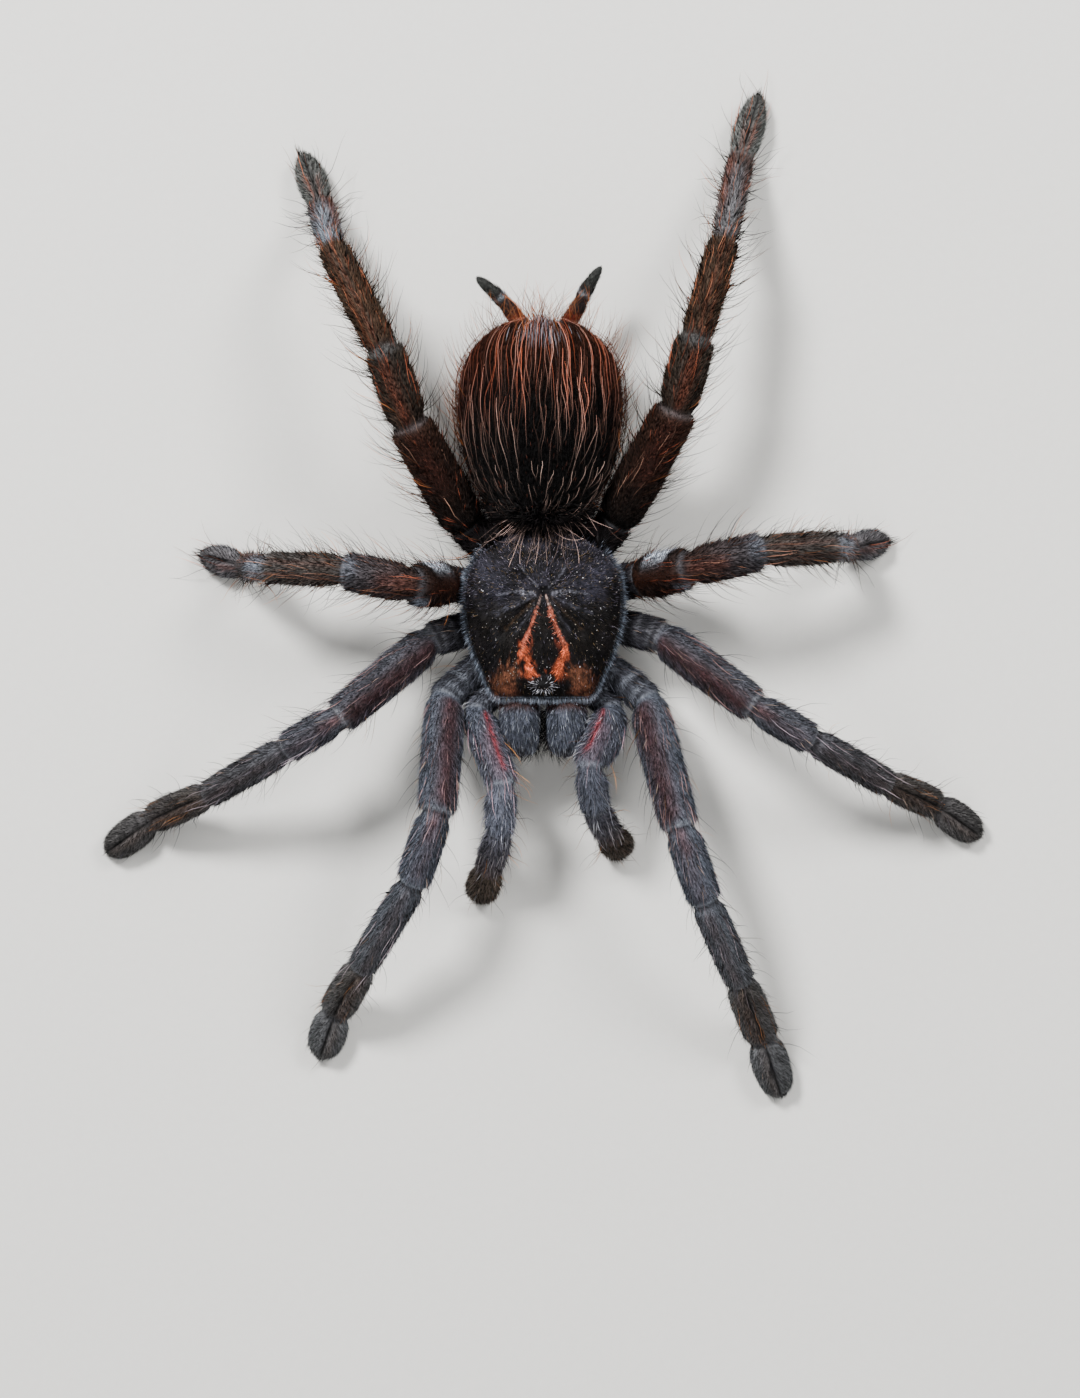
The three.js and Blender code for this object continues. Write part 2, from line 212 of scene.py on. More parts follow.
def write_mesh(name: str, points: Array, faces: list[Array]) -> Piece:
    """Make an object from corner points and faces.

    Args:
        name: Name of the object and its mesh.
        points: Corners in millimetres.
        faces: Arrays of faces, each array with faces of one size.

    Returns:
        The linked object, smooth shaded, at the origin.
    """
    mesh = bpy.data.meshes.new(name)
    loops = np.concatenate([block.ravel() for block in faces])
    sizes = np.concatenate([np.full(len(block), block.shape[1]) for block in faces])
    mesh.vertices.add(len(points))
    mesh.vertices.foreach_set("co", (points * MM).astype(np.float32).ravel())
    mesh.loops.add(len(loops))
    mesh.loops.foreach_set("vertex_index", loops.astype(np.int32))
    mesh.polygons.add(len(sizes))
    mesh.polygons.foreach_set("loop_start", (np.cumsum(sizes) - sizes).astype(np.int32))
    mesh.update(calc_edges=True)
    mesh.validate()
    mesh.polygons.foreach_set("use_smooth", np.ones(len(sizes), bool))
    piece = bpy.data.objects.new(name, mesh)
    bpy.context.scene.collection.objects.link(piece)
    return piece


def store(mesh: Mesh, name: str, values: Array) -> None:
    """Keep one value, vector or colour for each corner of a mesh.

    Args:
        mesh: Mesh that gets the attribute.
        name: Name of the attribute.
        values: One number, three numbers (vector) or four (colour) for each corner.
    """
    width = 1 if values.ndim == 1 else values.shape[1]
    kind, key = {1: ("FLOAT", "value"), 3: ("FLOAT_VECTOR", "vector"), 4: ("FLOAT_COLOR", "color")}[width]
    mesh.attributes.new(name, kind, "POINT").data.foreach_set(key, values.astype(np.float32).ravel())


def read(mesh: Mesh, name: str, width: int) -> Array:
    """Read numbers (width 1) or colours (width 4) of the corners back."""
    key = "value" if width == 1 else "color"
    values = np.empty(len(mesh.vertices) * width, np.float32)
    mesh.attributes[name].data.foreach_get(key, values)
    return values.reshape(-1, width) if width > 1 else values


def store_tint(mesh: Mesh, colours: Array) -> None:
    """Keep a colour for each corner of a mesh, with an opaque fourth channel."""
    store(mesh, "tint", np.concatenate([colours, np.ones((len(colours), 1))], axis=1))


def arrays_of(mesh: Mesh) -> tuple[Array, Array]:
    """Corner points and triangles of a mesh."""
    mesh.calc_loop_triangles()
    points = np.empty(len(mesh.vertices) * 3, np.float32)
    mesh.vertices.foreach_get("co", points)
    triangles = np.empty(len(mesh.loop_triangles) * 3, np.int32)
    mesh.loop_triangles.foreach_get("vertices", triangles)
    return points.reshape(-1, 3), triangles.reshape(-1, 3)


def evaluated(piece: Piece) -> Mesh:
    """Plain mesh of an object with its modifiers worked in."""
    bpy.context.view_layer.update()
    graph = bpy.context.evaluated_depsgraph_get()
    return bpy.data.meshes.new_from_object(
        piece.evaluated_get(graph), preserve_all_data_layers=True, depsgraph=graph)


def settled(piece: Piece, finish: str, slot: str, *nodes: str) -> Piece:
    """Give a piece its material and body, and hide the CAD nodes that it stands for."""
    piece.data.materials.append(bpy.data.materials[finish])
    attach(piece, BODY)
    if nodes:
        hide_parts(*nodes)
    return piece


def grid_faces(rows: int, sides: int, start: int = 0) -> list[Array]:
    """Faces of a round grid whose two poles come after its rows.

    Args:
        rows: Number of rows from the first pole to the last.
        sides: Corners of a row, which turn clockwise as seen from the first pole.
        start: Number of the grid's first corner.

    Returns:
        Quads between the rows, and triangles round the poles.
    """
    order = np.arange(rows * sides).reshape(rows, sides) + start
    nxt = np.roll(order, -1, axis=1)
    quads = np.stack([order[:-1], nxt[:-1], nxt[1:], order[1:]], axis=-1).reshape(-1, 4)
    pole = np.full(sides, start + rows * sides)
    caps = np.concatenate([np.stack([pole, nxt[0], order[0]], axis=1),
                           np.stack([pole + 1, order[-1], nxt[-1]], axis=1)])
    return [quads, caps]


def turned_over(faces: list[Array]) -> list[Array]:
    """The same faces seen from the other side, each from the same first corner."""
    return [np.concatenate([block[:, :1], block[:, :0:-1]], axis=1) for block in faces]


class CadShape:
    """Surfaces of some CAD nodes, in millimetres, ready to be probed."""

    def __init__(self, nodes: tuple[str, ...]) -> None:
        points: list[Array] = []
        triangles: list[Array] = []
        count = 0
        for node in nodes:
            corners, faces = arrays_of(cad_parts[node].data)
            points.append(corners / MM)
            triangles.append(faces + count)
            count += len(corners)
        self.points = np.concatenate(points).astype(float)
        self.triangles = np.concatenate(triangles)
        self.tree = BVHTree.FromPolygons(self.points.tolist(), self.triangles.tolist())

    def wall(self, origin: Array, direction: Array, facing: float = 0.25) -> float:
        """Distance along a ray to the first wall that it leaves through.

        Args:
            origin: Start of the ray, inside the shape.
            direction: Direction of length 1.
            facing: Least agreement between the wall's normal and the ray.

        Returns:
            The distance, or not-a-number where no such wall is met.
        """
        start = Vector(origin)
        heading = Vector(direction)
        done = 0.0
        for _ in range(PROBE_TRIES):
            place, normal, _, distance = self.tree.ray_cast(start, heading)
            if place is None:
                return math.nan
            done += distance
            if normal.dot(heading) > facing:
                return done
            start = place + heading * PROBE_STEP
            done += PROBE_STEP
        return math.nan

    def height(self, x: float, y: float, top: float) -> float:
        """Height of the highest surface under a point, or not-a-number."""
        place = self.tree.ray_cast(Vector((x, y, top)), Vector((0.0, 0.0, -1.0)))[0]
        return math.nan if place is None else place.z


# ---- nodes ----


class Tree:
    """Short way to add nodes to a tree and join them."""

    def __init__(self, tree: bpy.types.NodeTree) -> None:
        self.tree = tree

    @staticmethod
    def pick(sockets: Any, key: int | str) -> Socket:
        """Find a socket by its place, or the first usable one by its name."""
        if isinstance(key, int):
            return sockets[key]
        return next(socket for socket in sockets if socket.name == key and socket.enabled)

    def add(self, kind: str, feeds: dict[int | str, Any] | None = None, **settings: Any) -> Node:
        """Add one node.

        Args:
            kind: Type name of the node.
            feeds: What goes into its sockets: another socket, or a plain value.
            settings: Properties of the node itself.

        Returns:
            The new node.
        """
        node = self.tree.nodes.new(kind)
        for key, value in settings.items():
            setattr(node, key, value)
        self.feed(node, feeds or {})
        return node

    def feed(self, node: Node, feeds: dict[int | str, Any]) -> None:
        """Join other sockets to a node's inputs, or set them to plain values."""
        for key, value in feeds.items():
            socket = self.pick(node.inputs, key)
            if isinstance(value, Socket):
                self.tree.links.new(value, socket)
            else:
                socket.default_value = value

    def get(self, kind: str, feeds: dict[int | str, Any] | None = None, **settings: Any) -> Socket:
        """Add one node and return its first usable output."""
        node = self.add(kind, feeds, **settings)
        return next(socket for socket in node.outputs if socket.enabled)

    def math(self, operation: str, *values: Any) -> Socket:
        """Add a sum of plain numbers and return its output."""
        return self.get("ShaderNodeMath", dict(enumerate(values)), operation=operation)

    def scaled(self, vector: Any, amount: Any) -> Socket:
        """Add a vector or colour times an amount and return its output."""
        return self.get("ShaderNodeVectorMath", {"Vector": vector, "Scale": amount}, operation="SCALE")


def blank_material(name: str) -> tuple[Material, Tree, Node]:
    """New material, the tree of its nodes and its shader."""
    material = bpy.data.materials.new(name)
    material.use_nodes = True
    return material, Tree(material.node_tree), material.node_tree.nodes["Principled BSDF"]


class GrowthTree:
    """A geometry tree with named inputs, and the socket of each input."""

    def __init__(self, name: str, inputs: tuple[tuple[str, str], ...]) -> None:
        self.group = bpy.data.node_groups.new(name, "GeometryNodeTree")
        self.nodes = Tree(self.group)
        self.sockets: dict[str, str] = {}
        face = self.group.interface
        face.new_socket("Geometry", in_out="INPUT", socket_type="NodeSocketGeometry")
        for label, kind in inputs:
            self.sockets[label] = face.new_socket(label, in_out="INPUT", socket_type=kind).identifier
        face.new_socket("Geometry", in_out="OUTPUT", socket_type="NodeSocketGeometry")
        self.given = self.nodes.add("NodeGroupInput").outputs

    def give(self, label: str) -> Socket:
        """The group's input of that name."""
        return self.nodes.pick(self.given, label)

    def named(self, label: str, kind: str) -> Socket:
        """Read an attribute of the geometry."""
        return self.nodes.get("GeometryNodeInputNamedAttribute", {"Name": label}, data_type=kind)

    def end(self, geometry: Socket) -> None:
        """Make instances real, give them their finish and close the tree."""
        real = self.nodes.get("GeometryNodeRealizeInstances", {"Geometry": geometry})
        dressed = self.nodes.get("GeometryNodeSetMaterial", {
            "Geometry": real, "Material": self.give("Finish")})
        self.nodes.add("NodeGroupOutput", {"Geometry": dressed})

    def grow(self, bearer: Piece, values: dict[str, Any]) -> Mesh:
        """Run the tree on an object.

        Args:
            bearer: Object that carries the geometry, linked to the scene.
            values: Value for each named input.

        Returns:
            The result as a plain mesh, with the modifier removed again.
        """
        modifier = bearer.modifiers.new("growth", "NODES")
        modifier.node_group = self.group
        for label, value in values.items():
            modifier[self.sockets[label]] = value
        mesh = evaluated(bearer)
        bearer.modifiers.remove(modifier)
        return mesh


def strewing_tree() -> GrowthTree:
    """Tree that plants bent hairs over a skin, combed along its comb vectors."""
    tree = GrowthTree("strewn_hair", (
        ("Density", "NodeSocketFloat"), ("Seed", "NodeSocketInt"), ("Length", "NodeSocketFloat"),
        ("Spread", "NodeSocketFloat"), ("Lift", "NodeSocketFloat"), ("Stray", "NodeSocketFloat"),
        ("Hairs", "NodeSocketCollection"), ("Finish", "NodeSocketMaterial")))
    nodes = tree.nodes

    def times(first: Any, second: Any) -> Socket:
        """Product of two numbers."""
        return nodes.math("MULTIPLY", first, second)

    def plus(first: Any, second: Any) -> Socket:
        """Sum of two vectors."""
        return nodes.get("ShaderNodeVectorMath", {0: first, 1: second}, operation="ADD")

    seed = tree.give("Seed")
    density = times(tree.named("coat", "FLOAT"), tree.give("Density"))
    planted = nodes.add("GeometryNodeDistributePointsOnFaces", {
        "Mesh": tree.give("Geometry"), "Density": density, "Seed": seed})
    normal = nodes.pick(planted.outputs, "Normal")
    lift = times(tree.named("lift", "FLOAT"), tree.give("Lift"))
    leaning = nodes.scaled(tree.named("comb", "FLOAT_VECTOR"), nodes.math("COSINE", lift))
    standing = nodes.scaled(normal, nodes.math("SINE", lift))
    astray = nodes.get("FunctionNodeRandomValue", {
        "Min": (-1.0, -1.0, -1.0), "Max": (1.0, 1.0, 1.0), "Seed": seed}, data_type="FLOAT_VECTOR")
    heading = plus(plus(leaning, standing), nodes.scaled(astray, tree.give("Stray")))
    turned = nodes.get("FunctionNodeAxesToRotation", {
        "Primary Axis": heading, "Secondary Axis": normal}, primary_axis="Z", secondary_axis="X")
    second_seed = nodes.math("ADD", seed, SIZE_SEED)
    swing = nodes.get("FunctionNodeRandomValue", {"Min": -1.0, "Max": 1.0, "Seed": second_seed},
                      data_type="FLOAT")
    size = nodes.math("ADD", times(swing, tree.give("Spread")), 1.0)
    size = times(times(size, tree.give("Length")), tree.named("length", "FLOAT"))
    third_seed = nodes.math("ADD", seed, SHAPE_SEED)
    choice = nodes.get("FunctionNodeRandomValue", {
        "Min": 0, "Max": HAIR_SHAPES - 1, "Seed": third_seed}, data_type="INT")
    chance = nodes.get("FunctionNodeRandomValue", {"Min": 0.0, "Max": 1.0, "Seed": third_seed},
                       data_type="FLOAT")
    marked = nodes.get("GeometryNodeStoreNamedAttribute", {
        "Geometry": nodes.pick(planted.outputs, "Points"), "Name": "chance", "Value": chance},
        data_type="FLOAT", domain="POINT")
    shapes = nodes.get("GeometryNodeCollectionInfo", {
        "Collection": tree.give("Hairs"), "Separate Children": True, "Reset Children": True})
    tree.end(nodes.get("GeometryNodeInstanceOnPoints", {
        "Points": marked, "Instance": shapes, "Pick Instance": True, "Instance Index": choice,
        "Rotation": turned, "Scale": size}))
    return tree


def sweeping_tree() -> GrowthTree:
    """Tree that turns drawn lines into thin closed strands."""
    tree = GrowthTree("swept_strands", (
        ("Thickness", "NodeSocketFloat"), ("Sides", "NodeSocketInt"), ("Finish", "NodeSocketMaterial")))
    nodes = tree.nodes
    drawn = nodes.get("GeometryNodeMeshToCurve", {"Mesh": tree.give("Geometry")})
    ring = nodes.get("GeometryNodeCurvePrimitiveCircle", {
        "Resolution": tree.give("Sides"), "Radius": tree.give("Thickness")}, mode="RADIUS")
    tree.end(nodes.get("GeometryNodeCurveToMesh", {
        "Curve": drawn, "Profile Curve": ring, "Scale": tree.named("girth", "FLOAT"), "Fill Caps": True}))
    return tree


# ---- finishes ----


@dataclass(frozen=True)
class HairFinish:
    """Finish of hair: dark at the root, lighter at the tip, each hair a little different."""

    name: str
    root: float = 0.1
    tip: float = 1.55
    dim: float = 0.32
    bright: float = 2.9
    favour_dim: float = 2.7
    roughness: float = 0.5
    specular: float = 0.09

    def make(self) -> Material:
        """Build the material, which reads the hair's tint, tip and chance."""
        material, nodes, shader = blank_material(self.name)
        tint = nodes.get("ShaderNodeAttribute", attribute_name="tint")
        tip = nodes.pick(nodes.add("ShaderNodeAttribute", attribute_name="tip").outputs, "Fac")
        chance = nodes.pick(nodes.add("ShaderNodeAttribute", attribute_name="chance").outputs, "Fac")
        along = nodes.get("ShaderNodeMapRange", {"Value": tip, "To Min": self.root, "To Max": self.tip})
        rare = nodes.math("POWER", chance, self.favour_dim)
        apart = nodes.get("ShaderNodeMapRange", {"Value": rare, "To Min": self.dim, "To Max": self.bright})
        colour = nodes.scaled(tint, nodes.math("MULTIPLY", along, apart))
        nodes.feed(shader, {"Base Color": colour, "Roughness": self.roughness,
                            "Specular IOR Level": self.specular})
        return material


@dataclass(frozen=True)
class SkinFinish:
    """Finish of skin under hair: tinted, streaked, finely pitted."""

    name: str
    grain: float = 0.35
    streak: float = 0.5
    rough_low: float = 0.45
    rough_high: float = 0.75
    pit: float = 0.25
    bump: float = 0.03
    specular: float = 0.12
    gloss: float = 0.0
    coat_rough: float = 0.12
    detail: float = 4.0
    fineness: float = 0.65
    relief: float = 0.6

    def make(self) -> Material:
        """Build the material, which reads the skin's tint and its object coordinates."""
        material, nodes, shader = blank_material(self.name)
        place = nodes.pick(nodes.add("ShaderNodeTexCoord").outputs, "Object")
        tint = nodes.get("ShaderNodeAttribute", attribute_name="tint")
        grain = nodes.get("ShaderNodeTexNoise", {
            "Vector": place, "Scale": 1.0 / (self.grain * MM), "Detail": self.detail,
            "Roughness": self.fineness})
        amount = nodes.get("ShaderNodeMapRange", {
            "Value": grain, "From Min": GRAIN_LOW, "From Max": GRAIN_HIGH,
            "To Min": 1.0 - self.streak, "To Max": 1.0 + self.streak})
        colour = nodes.scaled(tint, amount)
        rough = nodes.get("ShaderNodeMapRange", {
            "Value": grain, "From Min": GRAIN_LOW, "From Max": GRAIN_HIGH,
            "To Min": self.rough_low, "To Max": self.rough_high})
        pits = nodes.get("ShaderNodeTexVoronoi", {"Vector": place, "Scale": 1.0 / (self.pit * MM)})
        height = nodes.math("ADD", pits, grain)
        bump = nodes.get("ShaderNodeBump", {
            "Strength": self.relief, "Distance": self.bump * MM, "Height": height})
        nodes.feed(shader, {
            "Base Color": colour, "Roughness": rough, "Normal": bump, "Specular IOR Level": self.specular,
            "Coat Weight": self.gloss, "Coat Roughness": self.coat_rough})
        return material


@dataclass(frozen=True)
class FloorFinish:
    """Pale matt paper for the floor."""

    name: str = "pale_paper"
    tone: Tone = (232, 230, 225)
    roughness: float = 0.9
    grain_scale: float = 900.0
    grain_low: float = 0.97
    grain_high: float = 1.03

    def make(self) -> Material:
        """Build the material with a faint paper grain."""
        material, nodes, shader = blank_material(self.name)
        place = nodes.pick(nodes.add("ShaderNodeTexCoord").outputs, "Object")
        grain = nodes.get("ShaderNodeTexNoise", {
            "Vector": place, "Scale": self.grain_scale, "Detail": 3.0})
        amount = nodes.get("ShaderNodeMapRange", {
            "Value": grain, "To Min": self.grain_low, "To Max": self.grain_high})
        colour = nodes.scaled(tuple(linear(self.tone)), amount)
        bump = nodes.get("ShaderNodeBump", {"Strength": 0.2, "Distance": 0.05 * MM, "Height": grain})
        nodes.feed(shader, {"Base Color": colour, "Normal": bump, "Roughness": self.roughness})
        return material


# ---- hair ----


@dataclass(frozen=True)
class HairShape:
    """Closed three-sided spike of length 1 that bends back toward the skin."""

    name: str
    rings: int
    girth: float
    bend: float
    wave: float
    kinds: int = HAIR_SHAPES
    sides: int = 3
    taper: float = 0.85
    waves: float = 5.0

    def collection(self) -> bpy.types.Collection:
        """Make a set of slightly different hairs, kept out of the scene."""
        group = bpy.data.collections.new(self.name)
        rng = np.random.default_rng(len(self.name) * 7 + self.rings)
        for kind in range(self.kinds):
            bend = self.bend * rng.uniform(0.6, 1.4)
            phase = rng.uniform(0.0, FULL_TURN)
            group.objects.link(self.one(f"{self.name}_{kind}", bend, phase))
        return group

    def one(self, name: str, bend: float, phase: float) -> Piece:
        """Make one hair.

        Args:
            name: Name of the hair.
            bend: Sideways drop of the tip as a share of the length.
            phase: Where its wave starts, in radians.

        Returns:
            The unlinked object, with its tip attribute.
        """
        corners = FULL_TURN * np.arange(self.sides) / self.sides
        points: list[Array] = []
        tips: list[float] = []
        for level in range(self.rings):
            share = level / self.rings
            radius = self.girth * (1.0 - self.taper * share)
            sway = self.wave * (math.sin(phase + self.waves * share) - math.sin(phase))
            middle = np.array((-bend * share * share, sway, share))
            ring = np.stack([np.cos(corners) * radius, np.sin(corners) * radius, 0.0 * corners], axis=1)
            points.extend(middle + ring)
            tips.extend([share] * self.sides)
        sway = self.wave * (math.sin(phase + self.waves) - math.sin(phase))
        points.append(np.array((-bend, sway, 1.0)))
        tips.append(1.0)
        faces = [tuple(reversed(range(self.sides)))]
        for level in range(self.rings - 1):
            for side in range(self.sides):
                low = level * self.sides + side
                near = level * self.sides + (side + 1) % self.sides
                faces.append((low, near, near + self.sides))
                faces.append((low, near + self.sides, low + self.sides))
        last = (self.rings - 1) * self.sides
        for side in range(self.sides):
            faces.append((last + side, last + (side + 1) % self.sides, len(points) - 1))
        mesh = bpy.data.meshes.new(name)
        mesh.from_pydata([tuple(point) for point in points], [], faces)
        store(mesh, "tip", np.array(tips))
        return bpy.data.objects.new(name, mesh)


@dataclass(frozen=True)
class Coat:
    """One kind of hair and how it stands on a skin."""

    shape: str
    density: float
    length: float
    spread: float = 0.3
    lift: float = 24.0
    stray: float = 0.12
    gain: float = 1.0
    accent: Tone | None = None
    accent_share: float = 0.0
    seed: int = 1
    tone: Tone | None = None


@dataclass
class Pelt:
    """Loose hairs as plain arrays, in millimetres."""

    points: Array
    triangles: Array
    tint: Array
    tip: Array
    chance: Array

    @staticmethod
    def of(mesh: Mesh) -> "Pelt":
        """Take the arrays out of a grown mesh and drop the mesh."""
        points, triangles = arrays_of(mesh)
        pelt = Pelt(points.astype(float), triangles, read(mesh, "tint", 4)[:, :3],
                    read(mesh, "tip", 1), read(mesh, "chance", 1))
        bpy.data.meshes.remove(mesh)
        return pelt

    @staticmethod
    def joined(parts: list["Pelt"]) -> "Pelt":
        """Put several sets of hairs into one."""
        counts = np.cumsum([0] + [len(part.points) for part in parts])
        moved = [replace(part, triangles=part.triangles + count) for part, count in zip(parts, counts)]
        return Pelt(*(np.concatenate([getattr(part, key) for part in moved])
                      for key in Pelt.__dataclass_fields__))


@dataclass
class Skin:
    """Closed surface, and what its hair needs to know at each corner."""

    points: Array
    faces: list[Array]
    comb: Array
    run: Array
    turn: Array
    grid: Array
    tint: Array = field(default_factory=lambda: np.zeros((0, 3)))

    @property
    def share(self) -> Array:
        """Place of each corner along the skin, from 0 to 1."""
        return self.run / self.run.max()

    def piece(self, name: str, finish: str, slot: str, *nodes: str) -> Piece:
        """Write the skin as a finished piece that carries its tint.

        Args:
            name: Name of the piece.
            finish: Name of its material.
            slot: Material slot; not used.
            nodes: CAD nodes that it stands for.

        Returns:
            The piece, which rides on the body.
        """
        piece = write_mesh(name, self.points, self.faces)
        store_tint(piece.data, self.tint)
        return settled(piece, finish, slot, *nodes)


class Salon:
    """Grows hair on skins with trees that are built once."""

    def __init__(self) -> None:
        self.strew = strewing_tree()
        self.sweep = sweeping_tree()
        self.finish = HairFinish("hair").make()
        self.shapes = {shape.name: shape.collection() for shape in (
            HairShape("pile", 1, 0.055, 0.0, 0.0),
            HairShape("seta", 2, 0.020, 0.22, 0.02),
            HairShape("long_hair", 4, 0.009, 0.36, 0.05),
            HairShape("thread", 3, 0.009, 0.05, 0.04),
            HairShape("spine", 2, 0.05, 0.05, 0.0),
            HairShape("speck", 1, 0.5, 0.0, 0.0),
        )}

    def plant(self, skin: Skin, coat: Coat, mask: Array | float = 1.0, length: Array | float = 1.0,
              lift: Array | float = 1.0, comb: Array | None = None,
              tint: Array | None = None) -> Pelt:
        """Plant one coat on a skin.

        Args:
            skin: Skin to plant on.
            coat: Kind of hair.
            mask: Share of the coat's density at each corner.
            length: Factor on the hair's length at each corner.
            lift: Factor on the hair's lift at each corner.
            comb: Direction in which hair lies at each corner, where not the skin's own.
            tint: Hair colour at each corner, where not the coat's or the skin's own.

        Returns:
            The hairs.
        """
        count = len(skin.points)
        bearer = write_mesh("bearer", skin.points / MM, skin.faces)
        store(bearer.data, "coat", np.clip(mask, 0.0, None) * np.ones(count))
        store(bearer.data, "length", length * np.ones(count))
        store(bearer.data, "lift", lift * np.ones(count))
        store(bearer.data, "comb", skin.comb if comb is None else comb)
        if tint is None:
            tint = skin.tint if coat.tone is None else plain(coat.tone, skin.points)
        store_tint(bearer.data, tint * coat.gain)
        mesh = self.strew.grow(bearer, {
            "Density": coat.density, "Seed": coat.seed, "Length": coat.length, "Spread": coat.spread,
            "Lift": math.radians(coat.lift), "Stray": coat.stray,
            "Hairs": self.shapes[coat.shape], "Finish": self.finish})
        bpy.data.objects.remove(bearer)
        pelt = Pelt.of(mesh)
        if coat.accent is not None:
            picked = pelt.chance < coat.accent_share
            pelt.tint = np.where(picked[:, None], linear(coat.accent)[None, :], pelt.tint)
            pelt.chance = np.where(picked, pelt.chance / max(coat.accent_share, 1e-6), pelt.chance)
        return pelt

    def draw(self, lines: Array, girth: Array, tint: Array, thickness: float,
             seed: int) -> Pelt:
        """Sweep drawn lines into strands.

        Args:
            lines: Strands by points by three, in millimetres.
            girth: Share of the thickness at each point of a strand.
            tint: Colour of each point of each strand.
            thickness: Radius of a strand in millimetres.
            seed: Seed for the chance value of each strand.

        Returns:
            The strands.
        """
        strands, steps = lines.shape[:2]
        mesh = bpy.data.meshes.new("drawn")
        order = np.arange(strands * steps).reshape(strands, steps)
        edges = np.stack([order[:, :-1].ravel(), order[:, 1:].ravel()], axis=1)
        mesh.from_pydata(lines.reshape(-1, 3).tolist(), edges.tolist(), [])
        rng = np.random.default_rng(seed)
        store(mesh, "girth", np.tile(girth, strands))
        store_tint(mesh, tint.reshape(-1, 3))
        store(mesh, "tip", np.tile(np.linspace(0.0, 1.0, steps), strands))
        store(mesh, "chance", np.repeat(rng.random(strands), steps))
        bearer = bpy.data.objects.new("drawn", mesh)
        bpy.context.scene.collection.objects.link(bearer)
        grown = self.sweep.grow(bearer, {
            "Thickness": thickness, "Sides": STRAND_SIDES, "Finish": self.finish})
        bpy.data.objects.remove(bearer)
        return Pelt.of(grown)

    def finish_pelt(self, name: str, slot: str, parts: list[Pelt]) -> Piece:
        """Write hairs as one piece of the specimen.

        Args:
            name: Name of the piece.
            slot: Material slot; not used.
            parts: Sets of hairs, which are kept off the ground.

        Returns:
            The finished piece, which rides on the body.
        """
        pelt = Pelt.joined(parts)
        pelt.points[:, 2] = np.maximum(pelt.points[:, 2], HAIR_GROUND)
        piece = write_mesh(name, pelt.points, [pelt.triangles])
        store_tint(piece.data, pelt.tint)
        store(piece.data, "tip", pelt.tip)
        store(piece.data, "chance", pelt.chance)
        log.info("%s: %d triangles of hair", name, len(pelt.triangles))
        return settled(piece, self.finish.name, slot)


# ---- tubes ----


